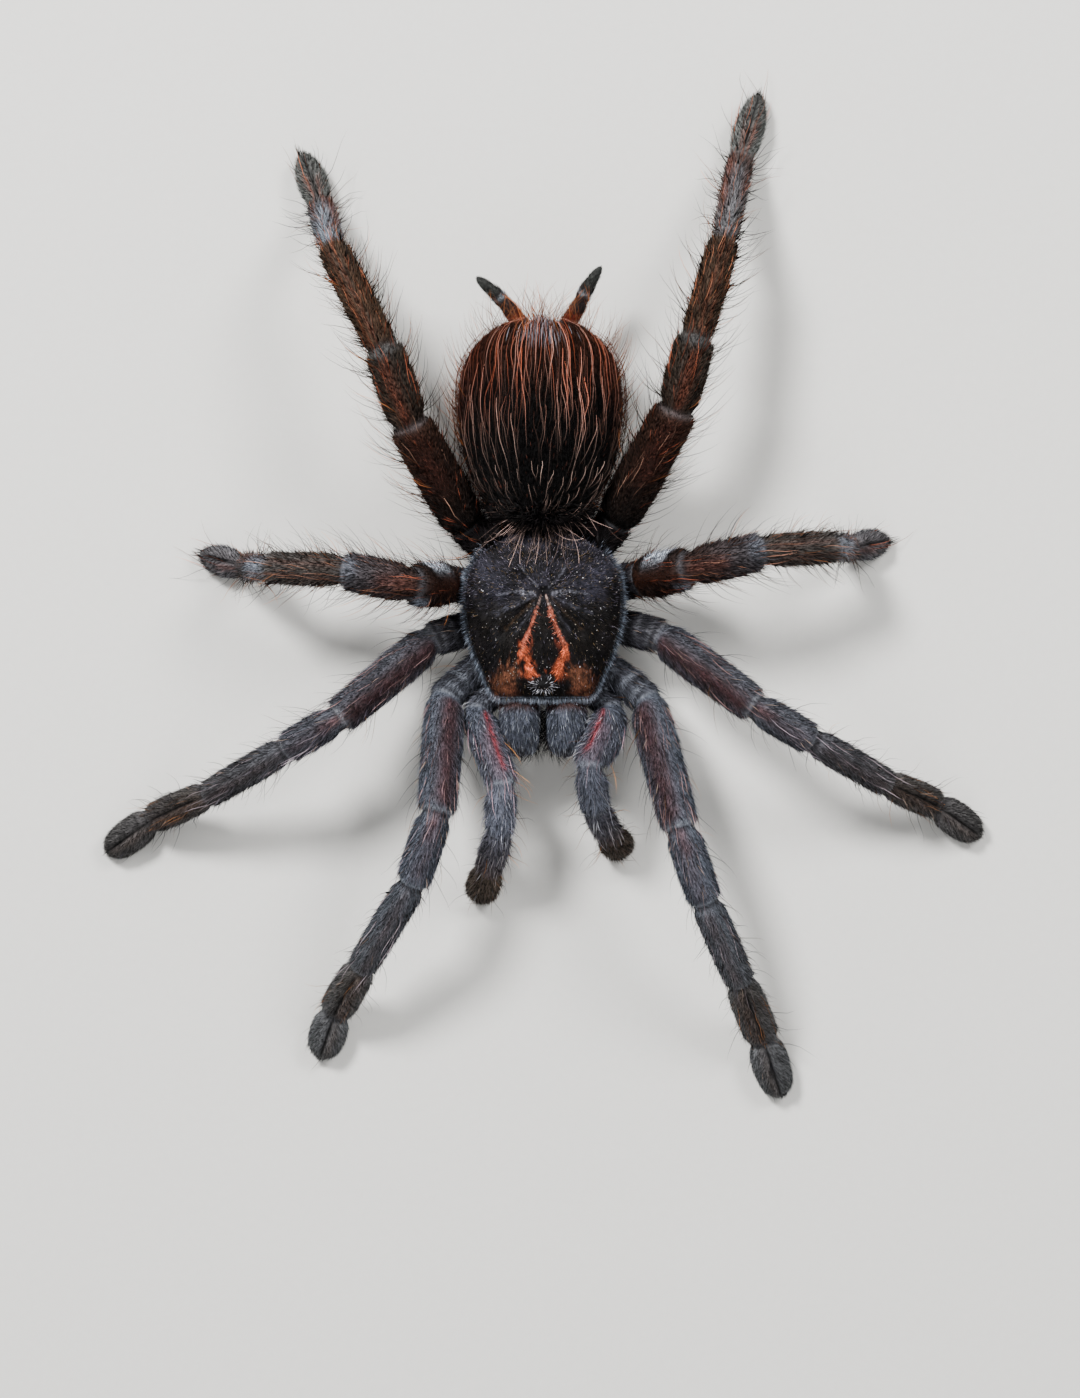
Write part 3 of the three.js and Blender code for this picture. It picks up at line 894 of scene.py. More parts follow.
@dataclass
class Tube:
    """Skin wrapped round CAD nodes along a centre line."""

    nodes: tuple[str, ...]
    spine: Array
    sides: int = 32
    step: float = 0.36
    relax: float = 1.2
    even: float = 0.5
    tail_round: float = 1.5
    head_round: float = 1.0
    front: float = 1.0
    pole: float = 0.12
    least_radius: float = 0.1
    widest: float = 4.0
    least_round: float = 0.03

    @property
    def turns(self) -> Array:
        """Angle of each side in radians."""
        return FULL_TURN * np.arange(self.sides) / self.sides

    def rays(self, spine: Array) -> Array:
        """Outward direction of each side at each point of the centre line."""
        across, over, _ = self.axes(spine)
        turns = self.turns[None, :, None]
        return over[:, None] * np.cos(turns) + across[:, None] * np.sin(turns)

    def wrap(self) -> Skin:
        """Probe the solids from the centre line outwards and make the skin.

        Returns:
            The closed skin, with runs in millimetres and turns in radians.
        """
        shape = CadShape(self.nodes)
        spine = smooth_rows(respaced(self.spine, self.step), self.relax / self.step)
        spine, _ = self.probed(shape, spine)
        spine = smooth_rows(respaced(spine, self.step), self.relax / self.step)
        _, reach = self.probed(shape, spine)
        run = np.concatenate([[0.0], np.cumsum(np.linalg.norm(np.diff(spine, axis=0), axis=1))])
        reach *= self.rounded(run)[:, None]
        grid = spine[:, None] + self.rays(spine) * reach[..., None]
        grid[..., 2] = np.maximum(grid[..., 2], GROUND)
        return self.closed(grid, self.axes(spine)[2], run)

    def axes(self, spine: Array) -> tuple[Array, Array, Array]:
        """Sideways, upward and forward directions at each point of the centre line."""
        along = unit(np.gradient(spine, axis=0))
        across = unit(np.cross(along, UP))
        return across, np.cross(across, along), along

    def rounded(self, run: Array) -> Array:
        """Factor on the radius that rounds both ends."""
        head = np.clip(run / self.head_round, 0.0, 1.0)
        tail = np.clip((run[-1] - run) / self.tail_round, 0.0, 1.0)
        least = self.least_round
        return np.sqrt(np.clip(1.0 - (1.0 - head) ** 2, least, 1.0)) * np.sqrt(
            np.clip(1.0 - (1.0 - tail) ** 2, least, 1.0))

    def probed(self, shape: CadShape, spine: Array) -> tuple[Array, Array]:
        """Measure the solids round the centre line.

        Args:
            shape: Solids to measure.
            spine: Points of the centre line.

        Returns:
            The middles of the sections, and the radii as stations by sides.
        """
        across, over, _ = self.axes(spine)
        reach = np.full((len(spine), self.sides), np.nan)
        for station, middle in enumerate(spine):
            for side, turn in enumerate(self.turns):
                aim = turn + AIM_OFFSET
                ray = over[station] * math.cos(aim) + across[station] * math.sin(aim)
                reach[station, side] = shape.wall(middle, ray)
        stations = np.arange(len(spine))
        typical = np.nanmedian(reach)
        for side in range(self.sides):
            column = reach[:, side]
            good = np.isfinite(column) & (column < self.widest * typical)
            reach[:, side] = np.interp(stations, stations[good], column[good])
        reach = np.maximum(smooth_rows(reach, self.even / self.step), self.least_radius)
        middles = spine + (self.rays(spine) * reach[..., None]).mean(axis=1)
        middles[0], middles[-1] = spine[0], spine[-1]
        return middles, reach

    def closed(self, grid: Array, along: Array, run: Array) -> Skin:
        """Close a grid of stations by sides with a pole at each end.

        Args:
            grid: Corner points, stations by sides by three.
            along: Directions of the centre line.
            run: Millimetres along the centre line.

        Returns:
            The skin, with its comb pointing along the tube.
        """
        stations, sides = grid.shape[:2]
        ends = np.stack([grid[0].mean(axis=0) - along[0] * self.pole,
                         grid[-1].mean(axis=0) + along[-1] * self.pole])
        ends[:, 2] = np.maximum(ends[:, 2], GROUND)
        points = np.concatenate([grid.reshape(-1, 3), ends])
        combs = np.gradient(grid, axis=0)
        comb = np.concatenate([unit(combs).reshape(-1, 3), -along[:1], along[-1:]])
        wrapped = (self.turns + math.pi) % FULL_TURN - math.pi
        turn = np.concatenate([np.tile(wrapped * self.front, stations), [0.0, 0.0]])
        runs = np.concatenate([np.repeat(run, sides), [0.0, run[-1]]])
        return Skin(points, grid_faces(stations, sides), comb, runs, turn, grid)


def end_middle(points: Array, away: Array) -> Array:
    """Middle of the end of a solid that lies furthest from a point."""
    axis = unit(points.mean(axis=0) - away)
    reach = (points - away) @ axis
    return points[reach > reach.max() - 0.5].mean(axis=0)


def joint_middle(first: Array, second: Array, gap: float = 0.8) -> Array:
    """Middle of the gap between two solids that meet end to end."""
    apart = np.linalg.norm(first[:, None] - second[None], axis=2)
    near_first = first[apart.min(axis=1) < gap]
    near_second = second[apart.min(axis=0) < gap]
    return 0.5 * (near_first.mean(axis=0) + near_second.mean(axis=0))


def node_points(name: str) -> Array:
    """Corner points of one CAD node, in millimetres."""
    return CadShape((name,)).points


# ---- limbs ----


class Part(Enum):
    """Parts of a limb from the body outwards."""

    HIP = 0
    FEMUR = 1
    PATELLA = 2
    TIBIA = 3
    METATARSUS = 4
    TARSUS = 5


HIP, FEMUR, PATELLA, TIBIA, METATARSUS, TARSUS = Part

# Swelling before a joint and pinch past it, in millimetres.
COLLAR, COLLAR_BEFORE, COLLAR_WIDTH = 0.14, 0.55, 0.6
PINCH, PINCH_PAST, PINCH_WIDTH = 0.34, 0.45, 0.65
# Groove and lobes of a foot pad: share of the radius, turn and width in radians.
GROOVE, GROOVE_WIDTH = 0.26, 0.2
LOBE, LOBE_TURN, LOBE_WIDTH = 0.05, 0.95, 0.5


@dataclass(frozen=True)
class Patch:
    """Coloured area on one part of a limb.

    The span is in shares of the part's length. The turn is in degrees round the limb,
    0 on top and positive toward the animal's front, and width is the patch's half width.
    """

    part: Part
    span: tuple[float, float]
    tone: Tone
    turn: float = 0.0
    width: float = 400.0
    amount: float = 1.0
    feather: float = 0.16
    broken: float = 0.3


@dataclass(frozen=True)
class LimbStyle:
    """Colours and coats of one kind of limb."""

    base: dict[Part, tuple[Tone, Tone]]
    patches: tuple[Patch, ...]
    broad: tuple[Part, ...]
    slot: str
    pile: Coat
    setae: Coat
    fringe: Coat
    spines: Coat
    fringe_on: tuple[float, ...]
    threads_on: dict[Part, tuple[Tone, float]]
    threads: Coat = Coat("thread", 0.5, 4.4, 0.4, 8, 0.11)
    smoky: Tone = (64, 62, 74)
    taper: float = 0.0
    foot_pinch: float = 1.0
    claws: float = 0.0


@dataclass
class Limb:
    """One leg or palp: its skin, colours and hair."""

    name: str
    style: LimbStyle
    patella_share: float
    seed: int
    is_palp: bool = False
    wash: Tone = (1.0, 1.0, 1.0)
    plump: float = 0.22
    bulge: float = 0.0
    shin_bow: float = 1.2

    def build(self, salon: Salon) -> list[Piece]:
        """Wrap, paint and fur the limb.

        Args:
            salon: Grower of hair.

        Returns:
            The skin and the fur.
        """
        self.parts = [part for part in Part if not (self.is_palp and part is METATARSUS)]
        self.nodes = self.node_names()
        self.skin = Tube(self.nodes, self.knuckles(), front=self.front).wrap()
        self.locate()
        self.sculpt()
        self.paint()
        piece = self.skin.piece(f"{self.name}_skin", "limb_skin", self.style.slot, *self.nodes)
        return [piece, salon.finish_pelt(f"{self.name}_fur", self.style.slot, self.hair(salon))]

    @property
    def front(self) -> float:
        """Sense in which a turn toward the animal's front is positive."""
        return 1.0 if self.name.endswith("_left") else -1.0

    def node_names(self) -> tuple[str, ...]:
        """CAD nodes of this limb from the body outwards."""
        ends = ["hip", "femur", "patella_tibia", "metatarsus", "tarsus"]
        if self.is_palp:
            ends.remove("metatarsus")
        return tuple(f"{self.name}_{end}" for end in ends)

    def knuckles(self) -> Array:
        """Socket, joint and toe points found on the CAD nodes."""
        solids = [node_points(node) for node in self.nodes]
        joints = [joint_middle(first, second) for first, second in zip(solids, solids[1:])]
        socket = end_middle(solids[0], joints[0])
        toe = end_middle(solids[-1], joints[-1])
        line = [socket, *joints, toe]
        knee, ankle = line[2], line[3]
        bow = 0.0 if self.is_palp else self.shin_bow
        shin = knee + (ankle - knee) * self.patella_share + UP * bow
        line.insert(3, shin)
        return np.array(line)

    def locate(self) -> None:
        """Work out which part each corner is on, and how far along it."""
        knuckles = self.knuckles()
        spine = self.skin.grid.mean(axis=1)
        run = self.skin.run[:len(spine) * self.skin.grid.shape[1]].reshape(len(spine), -1)[:, 0]
        marks = [run[np.argmin(np.linalg.norm(spine - knuckle, axis=1))] for knuckle in knuckles]
        marks[0], marks[-1] = -0.01, run[-1] + 0.01
        self.marks = np.array(marks)
        place = np.clip(np.searchsorted(self.marks, self.skin.run) - 1, 0, len(self.parts) - 1)
        self.place = place
        self.share = (self.skin.run - self.marks[place]) / (self.marks[place + 1] - self.marks[place])

    def on(self, part: Part) -> Array:
        """1 on one part and 0 elsewhere."""
        if part not in self.parts:
            return np.zeros(len(self.skin.run))
        return (self.place == self.parts.index(part)).astype(float)

    def near_joint(self, width: float) -> Array:
        """Bell curve along the limb at each inner joint."""
        total = np.zeros(len(self.skin.run))
        for mark in self.marks[1:-1]:
            total = np.maximum(total, bell(self.skin.run - mark, width))
        return total

    def sculpt(self) -> None:
        """Pinch the joints and part the pads of the feet along the top."""
        stations, sides = self.skin.grid.shape[:2]
        middles = np.repeat(self.skin.grid.mean(axis=1), sides, axis=0)
        count = stations * sides
        swell = np.full(count, self.plump)
        for mark in self.marks[1:-1]:
            past = self.skin.run[:count] - mark
            depth = self.style.foot_pinch if mark == self.marks[-2] else 1.0
            swell += depth * (COLLAR * bell(past + COLLAR_BEFORE, COLLAR_WIDTH)
                              - PINCH * bell(past - PINCH_PAST, PINCH_WIDTH))
        factor = np.ones(count)
        turn = self.skin.turn[:count]
        share = self.share[:count]
        swell += self.bulge * self.on(FEMUR)[:count] * np.sin(math.pi * share) * ease(0.1, 1.3, -turn)
        for part in self.style.broad:
            here = self.on(part)[:count] * window(share, 0.12, 0.9, 0.2)
            factor -= here * GROOVE * bell(turn, GROOVE_WIDTH)
            factor += here * LOBE * bell(np.abs(turn) - LOBE_TURN, LOBE_WIDTH)
        out = self.skin.points[:count] - middles
        points = middles + out * factor[:, None] + unit(out) * swell[:, None]
        narrow = self.style.taper * self.on(TARSUS)[:count] * ease(0.4, 1.0, share)
        points[:, :2] -= out[:, :2] * narrow[:, None]
        points[:, 2] = np.maximum(points[:, 2], GROUND)
        self.skin.points[:count] = points
        self.skin.grid = points.reshape(stations, sides, 3)

    def paint(self) -> None:
        """Give each corner its colour."""
        skin = self.skin
        colour = np.zeros((len(skin.run), 3))
        for part in self.parts:
            near, far = (linear(tone) for tone in self.style.base[part])
            colour += (near + (far - near) * self.share[:, None]) * self.on(part)[:, None]
        streaks = mottle(np.stack([skin.run / 3.0, skin.turn * 2.2, 0.0 * skin.run + self.seed], axis=1),
                         0.45, self.seed)
        clouds = mottle(skin.points, 2.6, self.seed + 5)
        for index, patch in enumerate(self.style.patches):
            along = window(self.share, *patch.span, patch.feather) * self.on(patch.part)
            aside = (np.degrees(skin.turn) - patch.turn + 180.0) % 360.0 - 180.0
            around = bell(aside, patch.width) if patch.width < 180.0 else 1.0
            torn = 1.0 - patch.broken * mottle(skin.points, 0.7, self.seed + 11 + index)
            colour = toward(colour, patch.tone, np.clip(along * around * torn * patch.amount, 0, 1))
        colour *= (0.6 + 0.58 * streaks + 0.22 * clouds)[:, None]
        # Painted shade: the underside of the limb is darkened by about a third.
        below = ease(1.7, 2.8, np.abs(skin.turn))
        colour *= (1.0 - 0.35 * below)[:, None]
        skin.tint = colour * np.array(self.wash)

    def combed(self, spread: float, parting: float) -> Array:
        """Comb directions that lean away from the top line.

        Args:
            spread: Lean in radians on plain parts.
            parting: Lean in radians beside the groove of the broad parts.

        Returns:
            One direction for each corner.
        """
        skin = self.skin
        around = unit(np.roll(skin.grid, -1, axis=1) - np.roll(skin.grid, 1, axis=1)).reshape(-1, 3)
        around = np.concatenate([around, around[:1], around[-1:]])
        lean = np.full(len(skin.run), spread)
        for part in self.style.broad:
            lean += self.on(part) * parting * bell(np.abs(skin.turn) - 0.3, 0.5)
        side = np.tanh(skin.turn * 4.0) * self.front * lean
        return unit(skin.comb + around * side[:, None])

    def hair(self, salon: Salon) -> list[Pelt]:
        """Grow all coats of the limb.

        Args:
            salon: Grower of hair.

        Returns:
            The sets of hairs.
        """
        skin, style = self.skin, self.style
        sides = np.abs(np.sin(skin.turn))
        top = ease(-0.6, 0.4, np.cos(skin.turn))
        socket = ease(0.2, 2.0, skin.run)
        bare = 1.0 - 0.3 * self.near_joint(0.4)
        grooves = np.zeros(len(skin.run))
        pads = np.zeros(len(skin.run))
        for part in style.broad:
            here = self.on(part) * window(self.share, 0.1, 0.93, 0.2)
            grooves = np.maximum(grooves, here * bell(skin.turn, 0.16))
            pads = np.maximum(pads, self.on(part) * ease(0.7, 1.4, np.abs(skin.turn)))
        mask = (0.56 + 0.44 * top) * bare * (1.0 - 0.9 * grooves) * socket
        clumps = 0.7 + 0.6 * mottle(skin.points, 0.9, self.seed + 3)
        spiny = (self.on(TIBIA) + 0.7 * self.on(METATARSUS)) * (0.2 + sides)
        spiny += style.claws * self.on(TARSUS) * ease(0.94, 0.99, self.share) * top
        fringed = sum(self.on(part) * share for part, share in zip(Part, style.fringe_on))
        threaded = np.zeros(len(skin.run))
        tint = np.zeros((len(skin.run), 3))
        for part, (tone, share) in style.threads_on.items():
            threaded += self.on(part) * share
            tint += self.on(part)[:, None] * linear(tone)
        return [
            salon.plant(skin, self.seeded(style.pile, 1), mask * clumps * (1.0 + 0.4 * pads),
                        1.0 - 0.25 * pads - 0.45 * self.near_joint(0.6), 1.0 + 0.1 * pads,
                        self.combed(0.16, 0.75)),
            salon.plant(skin, self.seeded(style.setae, 2),
                        mask * (0.5 + 0.5 * sides) * (1.0 - 0.8 * self.on(TARSUS)),
                        comb=self.combed(0.28, 0.5), tint=skin.tint * 0.6 + linear(style.smoky) * 0.4),
            salon.plant(skin, self.seeded(style.fringe, 3), fringed * socket * (0.07 + sides ** 2),
                        1.0, 0.6 + 0.5 * sides, self.combed(0.5, 0.2),
                        skin.tint * 0.3 + linear(FRINGE_TONE) * 0.7),
            salon.plant(skin, self.seeded(style.spines, 4), spiny * socket,
                        tint=plain(SPINE_TONE, skin.run)),
            salon.plant(skin, self.seeded(style.threads, 5),
                        threaded * socket * ease(-0.1, 0.6, np.cos(skin.turn)), tint=tint)]

    def seeded(self, coat: Coat, extra: int) -> Coat:
        """The same coat with this limb's own seed."""
        return replace(coat, seed=self.seed * 10 + extra)


def rings(pale: Tone, amounts: tuple[float, ...]) -> tuple[Patch, ...]:
    """Thin pale ring at the end of each part, and a dark one where the next begins."""
    ends = (HIP, FEMUR, PATELLA, TIBIA, METATARSUS)
    starts = (PATELLA, TIBIA, METATARSUS, TARSUS)
    pale_rings = (Patch(part, (0.985, 1.0), pale, amount=amount, feather=0.012, broken=0.15)
                  for part, amount in zip(ends, amounts))
    dark_rings = (Patch(part, (0.0, 0.05), (20, 17, 19), amount=0.8, feather=0.06) for part in starts)
    return (*pale_rings, *dark_rings)


def lit_and_shaded_pleats(pale: Tone, amount: float) -> tuple[Patch, ...]:
    """Folds across a hip, painted on the smooth skin: pale crests as painted highlight, with a dark crease
    of painted shade beside each.
    """
    # Painted highlight on the crests of the folds.
    crests = (Patch(HIP, (low, low + 0.04), pale, turn, 55, amount, 0.05, 0.5)
              for low, turn in ((0.5, 40), (0.68, -30), (0.86, 20)))
    # Painted shade in the creases of the folds.
    creases = (Patch(HIP, (low, low + 0.06), (18, 17, 20), turn, 60, 0.62, 0.06, 0.3)
               for low, turn in ((0.57, 20), (0.75, -40), (0.93, 30)))
    return (*crests, *creases)


def lobes(part: Part, edge: Tone, slit: float = 9.0, amount: float = 0.6) -> tuple[Patch, ...]:
    """Paler edges along a padded part, and a dark slit of painted shade in the groove along its top."""
    # The dark slit is painted shade in the top groove.
    return (Patch(part, (0.0, 1.0), edge, 80, 36, amount), Patch(part, (0.0, 1.0), edge, -80, 36, amount),
            Patch(part, (0.08, 0.95), (12, 10, 11), 0, slit, 0.95, 0.12, 0.0))


def front_style() -> LimbStyle:
    """Blue-grey velvet of legs one and two."""
    grey, pale, maroon, warm = (84, 89, 99), (160, 166, 176), (70, 38, 40), (78, 74, 71)
    return LimbStyle(
        base={HIP: ((40, 40, 46), (74, 76, 84)), FEMUR: (grey, grey), PATELLA: (grey, grey),
              TIBIA: ((88, 92, 100), (80, 82, 86)), METATARSUS: (warm, (76, 75, 76)),
              TARSUS: ((76, 76, 78), (74, 75, 76))},
        patches=(
            *lit_and_shaded_pleats(pale, 0.42),
            Patch(FEMUR, (0.04, 0.98), (52, 33, 33), 24, 42, 0.85, 0.08, 0.3),
            Patch(FEMUR, (0.06, 0.98), maroon, 14, 24, 0.65, 0.1, 0.6),
            Patch(PATELLA, (0.0, 0.34), (104, 46, 38), 6, 20, 0.55, 0.2, 0.6),
            Patch(PATELLA, (0.3, 0.95), (76, 54, 58), 14, 26, 0.5, 0.2, 0.6),
            Patch(TIBIA, (0.05, 0.95), (88, 68, 66), 14, 18, 0.5, 0.2, 0.7),
            Patch(METATARSUS, (0.05, 0.95), (98, 70, 54), 24, 22, 0.4, 0.2, 0.6),
            Patch(TARSUS, (0.1, 0.95), (88, 66, 52), 22, 16, 0.3, 0.2, 0.6),
            *rings(pale, (0.45, 0.7, 0.5, 0.3, 0.2)),
            *lobes(METATARSUS, (96, 98, 100), 8.0), *lobes(TARSUS, (106, 108, 110))),
        broad=(METATARSUS, TARSUS),
        slot="front_limb",
        pile=Coat("pile", 19.0, 0.78, lift=22, stray=0.12, gain=1.25),
        setae=Coat("seta", 1.7, 1.9, 0.3, 26, 0.16, 1.3, (160, 138, 124), 0.12),
        fringe=Coat("long_hair", 0.36, 3.9, 0.5, 44, 0.2, 0.5, (150, 104, 62), 0.16),
        spines=Coat("spine", 0.12, 1.4, lift=50, stray=0.2),
        fringe_on=(0.4, 0.8, 0.9, 1.2, 1.0, 0.04),
        threads_on={FEMUR: ((146, 114, 112), 0.8), PATELLA: ((164, 150, 160), 0.8),
                    TIBIA: ((160, 146, 152), 0.8), METATARSUS: ((150, 104, 70), 0.6)},
        taper=0.12)


def third_style() -> LimbStyle:
    """Brown and grey hair of leg three."""
    return LimbStyle(
        base={HIP: ((36, 34, 38), (44, 41, 44)), FEMUR: ((34, 24, 20), (34, 26, 24)),
              PATELLA: ((54, 40, 36), (68, 66, 70)), TIBIA: ((70, 64, 60), (76, 72, 70)),
              METATARSUS: ((84, 82, 88), (80, 74, 74)), TARSUS: ((84, 80, 82), (72, 70, 72))},
        patches=(
            *lit_and_shaded_pleats((120, 122, 134), 0.6),
            # Smooth bald patch on the thigh, its near-white blue a painted highlight.
            Patch(FEMUR, (0.34, 0.82), (196, 204, 216), -58, 24, 0.95, 0.12, 0.2),
            Patch(FEMUR, (0.1, 0.95), (72, 40, 28), 6, 26, 0.55, 0.2, 0.6),
            Patch(FEMUR, (0.88, 1.0), (160, 170, 186), 62, 18, 0.8),
            Patch(PATELLA, (0.03, 0.5), (98, 52, 40), 4, 20, 0.55, 0.2, 0.6),
            Patch(PATELLA, (0.84, 0.98), (118, 124, 136), -24, 32, 0.6),
            Patch(TIBIA, (0.08, 0.92), (104, 62, 50), 24, 7, 0.4, 0.2, 0.5),
            Patch(TIBIA, (0.08, 0.92), (104, 62, 50), -20, 7, 0.4, 0.2, 0.5),
            Patch(TIBIA, (0.94, 1.0), (140, 150, 166), 0, 60, 0.6, 0.06),
            Patch(METATARSUS, (0.0, 0.5), (150, 160, 176), 0, 60, 0.62, 0.2),
            Patch(METATARSUS, (0.3, 1.0), (112, 64, 50), -56, 30, 0.5),
            Patch(TARSUS, (0.0, 0.5), (130, 66, 46), 30, 12, 0.4, 0.2, 0.5),
            *rings((150, 158, 170), (0.3, 0.2, 0.3, 0.3, 0.3)), *lobes(TARSUS, (112, 112, 116), 10.0, 0.8)),
        broad=(TARSUS,),
        slot="rear_limb",
        pile=Coat("pile", 17.0, 0.9, lift=24, stray=0.16, gain=1.2),
        setae=Coat("seta", 2.2, 2.1, 0.3, 34, 0.2, 1.0, (132, 90, 70), 0.16),
        fringe=Coat("long_hair", 0.95, 4.3, 0.55, 50, 0.2, 0.4, (150, 96, 60), 0.22),
        spines=Coat("spine", 0.5, 1.6, lift=50, stray=0.2),
        fringe_on=(0.6, 1.0, 1.1, 1.3, 1.1, 0.04),
        threads_on={FEMUR: ((142, 74, 52), 0.5), PATELLA: ((140, 98, 82), 0.7),
                    TIBIA: ((146, 104, 86), 0.8), METATARSUS: ((150, 96, 74), 0.8),
                    TARSUS: ((164, 84, 54), 0.7)},
        smoky=(40, 36, 38), taper=0.34, foot_pinch=0.3, claws=10.0)


def rear_style(painted_sheen: float) -> LimbStyle:
    """Dark brown hair of leg four, with red lines on its shin and a pale blue-grey painted sheen past it.
    """
    # The pale blue-grey of the metatarsus is painted sheen; the share given sets how much.
    pale = tuple(low + (high - low) * painted_sheen for low, high in zip((88, 78, 72), (104, 110, 118)))
    return LimbStyle(
        base={HIP: ((26, 23, 25), (18, 15, 16)), FEMUR: ((11, 9, 8), (44, 28, 21)),
              PATELLA: ((42, 33, 27), (50, 44, 38)), TIBIA: ((58, 44, 33), (62, 50, 40)),
              METATARSUS: (pale, (82, 76, 74)), TARSUS: ((84, 84, 82), (72, 72, 70))},
        patches=(
            Patch(FEMUR, (0.45, 0.98), (62, 30, 24), 10, 32, 0.6, 0.3, 0.6),
            Patch(PATELLA, (0.05, 0.8), (98, 44, 28), 6, 14, 0.65, 0.2, 0.6),
            Patch(PATELLA, (0.88, 1.0), (82, 84, 86), 0, 50, 0.6, 0.1),
            Patch(TIBIA, (0.05, 0.95), (130, 56, 38), 4, 3.5, 0.75, 0.1, 0.5),
            Patch(TIBIA, (0.05, 0.95), (118, 52, 36), 26, 3.5, 0.7, 0.1, 0.5),
            Patch(TIBIA, (0.05, 0.95), (110, 48, 34), -28, 3.5, 0.6, 0.1, 0.5),
            # Painted sheen on the metatarsus.
            Patch(METATARSUS, (0.0, 0.8), (144, 156, 170), 6, 70, 0.62 * painted_sheen, 0.2),
            Patch(METATARSUS, (0.3, 0.97), (126, 62, 44), -56, 26, 0.6, 0.2, 0.5),
            Patch(METATARSUS, (0.4, 0.97), (112, 66, 52), 40, 18, 0.4, 0.2, 0.5),
            Patch(TARSUS, (0.0, 0.5), (140, 70, 46), 22, 8, 0.6, 0.2, 0.4),
            Patch(TARSUS, (0.0, 0.4), (130, 64, 44), -22, 7, 0.5, 0.2, 0.4),
            *rings((150, 152, 158), (0.2, 0.24, 0.1, 0.4, 0.2)),
            *lobes(TARSUS, (116, 119, 116), 10.0, 0.8)),
        broad=(TARSUS,),
        slot="rear_limb",
        pile=Coat("pile", 17.0, 0.9, lift=24, stray=0.16, gain=1.2),
        setae=Coat("seta", 2.0, 2.1, 0.3, 34, 0.2, 0.9, (120, 62, 44), 0.16),
        fringe=Coat("long_hair", 1.0, 5.0, 0.55, 50, 0.2, 0.4, (150, 92, 56), 0.22),
        spines=Coat("spine", 0.6, 1.8, lift=50, stray=0.2),
        fringe_on=(0.5, 0.8, 1.0, 1.3, 0.9, 0.04),
        threads_on={FEMUR: ((170, 130, 110), 0.14), PATELLA: ((156, 84, 60), 0.6),
                    TIBIA: ((172, 106, 76), 0.9), METATARSUS: ((156, 98, 78), 0.7),
                    TARSUS: ((168, 96, 66), 0.8)},
        smoky=(30, 25, 25), taper=0.42, foot_pinch=0.2, claws=12.0)


def palp_style() -> LimbStyle:
    """Pale grey hair of the palps, with a red line inside each thigh."""
    pale = (168, 176, 188)
    return LimbStyle(
        base={HIP: ((46, 45, 51), (74, 75, 83)), FEMUR: ((72, 76, 86), (88, 90, 100)),
              PATELLA: ((98, 101, 113), (98, 102, 114)), TIBIA: ((86, 86, 96), (70, 66, 70)),
              TARSUS: ((84, 74, 66), (56, 48, 42))},
        patches=(
            *lit_and_shaded_pleats(pale, 0.6),
            Patch(FEMUR, (0.4, 0.98), (112, 62, 72), 6, 26, 0.4, 0.3, 0.6),
            Patch(FEMUR, (0.06, 0.9), (142, 40, 44), 24, 8, 0.85, 0.1, 0.3),
            Patch(PATELLA, (0.86, 1.0), (52, 50, 56), 0, 90, 0.6, 0.1, 0.3),
            Patch(TIBIA, (0.7, 1.0), (92, 66, 56), 0, 60, 0.4, 0.2, 0.5),
            *rings(pale, (0.4, 0.85, 0.3, 0.0, 0.0))),
        broad=(),
        slot="front_limb",
        pile=Coat("pile", 19.0, 0.9, lift=24, stray=0.15, gain=1.25),
        setae=Coat("seta", 2.6, 1.8, 0.3, 28, 0.18, 1.5, (205, 205, 212), 0.2),
        fringe=Coat("long_hair", 0.45, 3.6, 0.5, 45, 0.3, 0.8, (200, 136, 72), 0.4),
        spines=Coat("spine", 0.3, 1.3, lift=50, stray=0.2),
        fringe_on=(0.3, 0.6, 1.0, 1.4, 0.0, 0.5),
        threads_on={FEMUR: ((186, 150, 160), 0.6), PATELLA: ((190, 190, 204), 0.9),
                    TIBIA: ((176, 168, 172), 0.9), TARSUS: ((130, 96, 74), 0.4)})


# ---- carapace ----


@dataclass(frozen=True)
class Stroke:
    """Line of colour on the shield, through points seen from above."""

    points: tuple[tuple[float, float], ...]
    widths: tuple[float, float]
    tone: Tone
    amount: float = 1.0
    broken: float = 0.3
    rag: float = 1.0

    def weight(self, places: Array) -> Array:
        """Strength of the line at each place.

        Args:
            places: Places in millimetres.

        Returns:
            Values from 0 to 1.
        """
        line = np.array(self.points)
        runs = np.linalg.norm(np.diff(line, axis=0), axis=1)
        marks = np.concatenate([[0.0], np.cumsum(runs)]) / runs.sum()
        best = np.zeros(len(places))
        ragged = self.rag * max(self.widths) * (mottle(places * np.array((1.0, 0.5, 1.0)), 0.3, 33) - 0.5)
        for start, end, low, high in zip(line, line[1:], marks, marks[1:]):
            along = end - start
            share = np.clip(((places[:, :2] - start) @ along) / (along @ along), 0.0, 1.0)
            apart = np.linalg.norm(places[:, :2] - (start + share[:, None] * along), axis=1)
            wide = self.widths[0] + (self.widths[1] - self.widths[0]) * (low + share * (high - low))
            best = np.maximum(best, np.exp(-((np.clip(apart + ragged, 0.0, None) / wide) ** 4)))
        torn = 1.0 - self.broken * mottle(places, 0.35, 31)
        return np.clip(best * torn * self.amount, 0.0, 1.0)


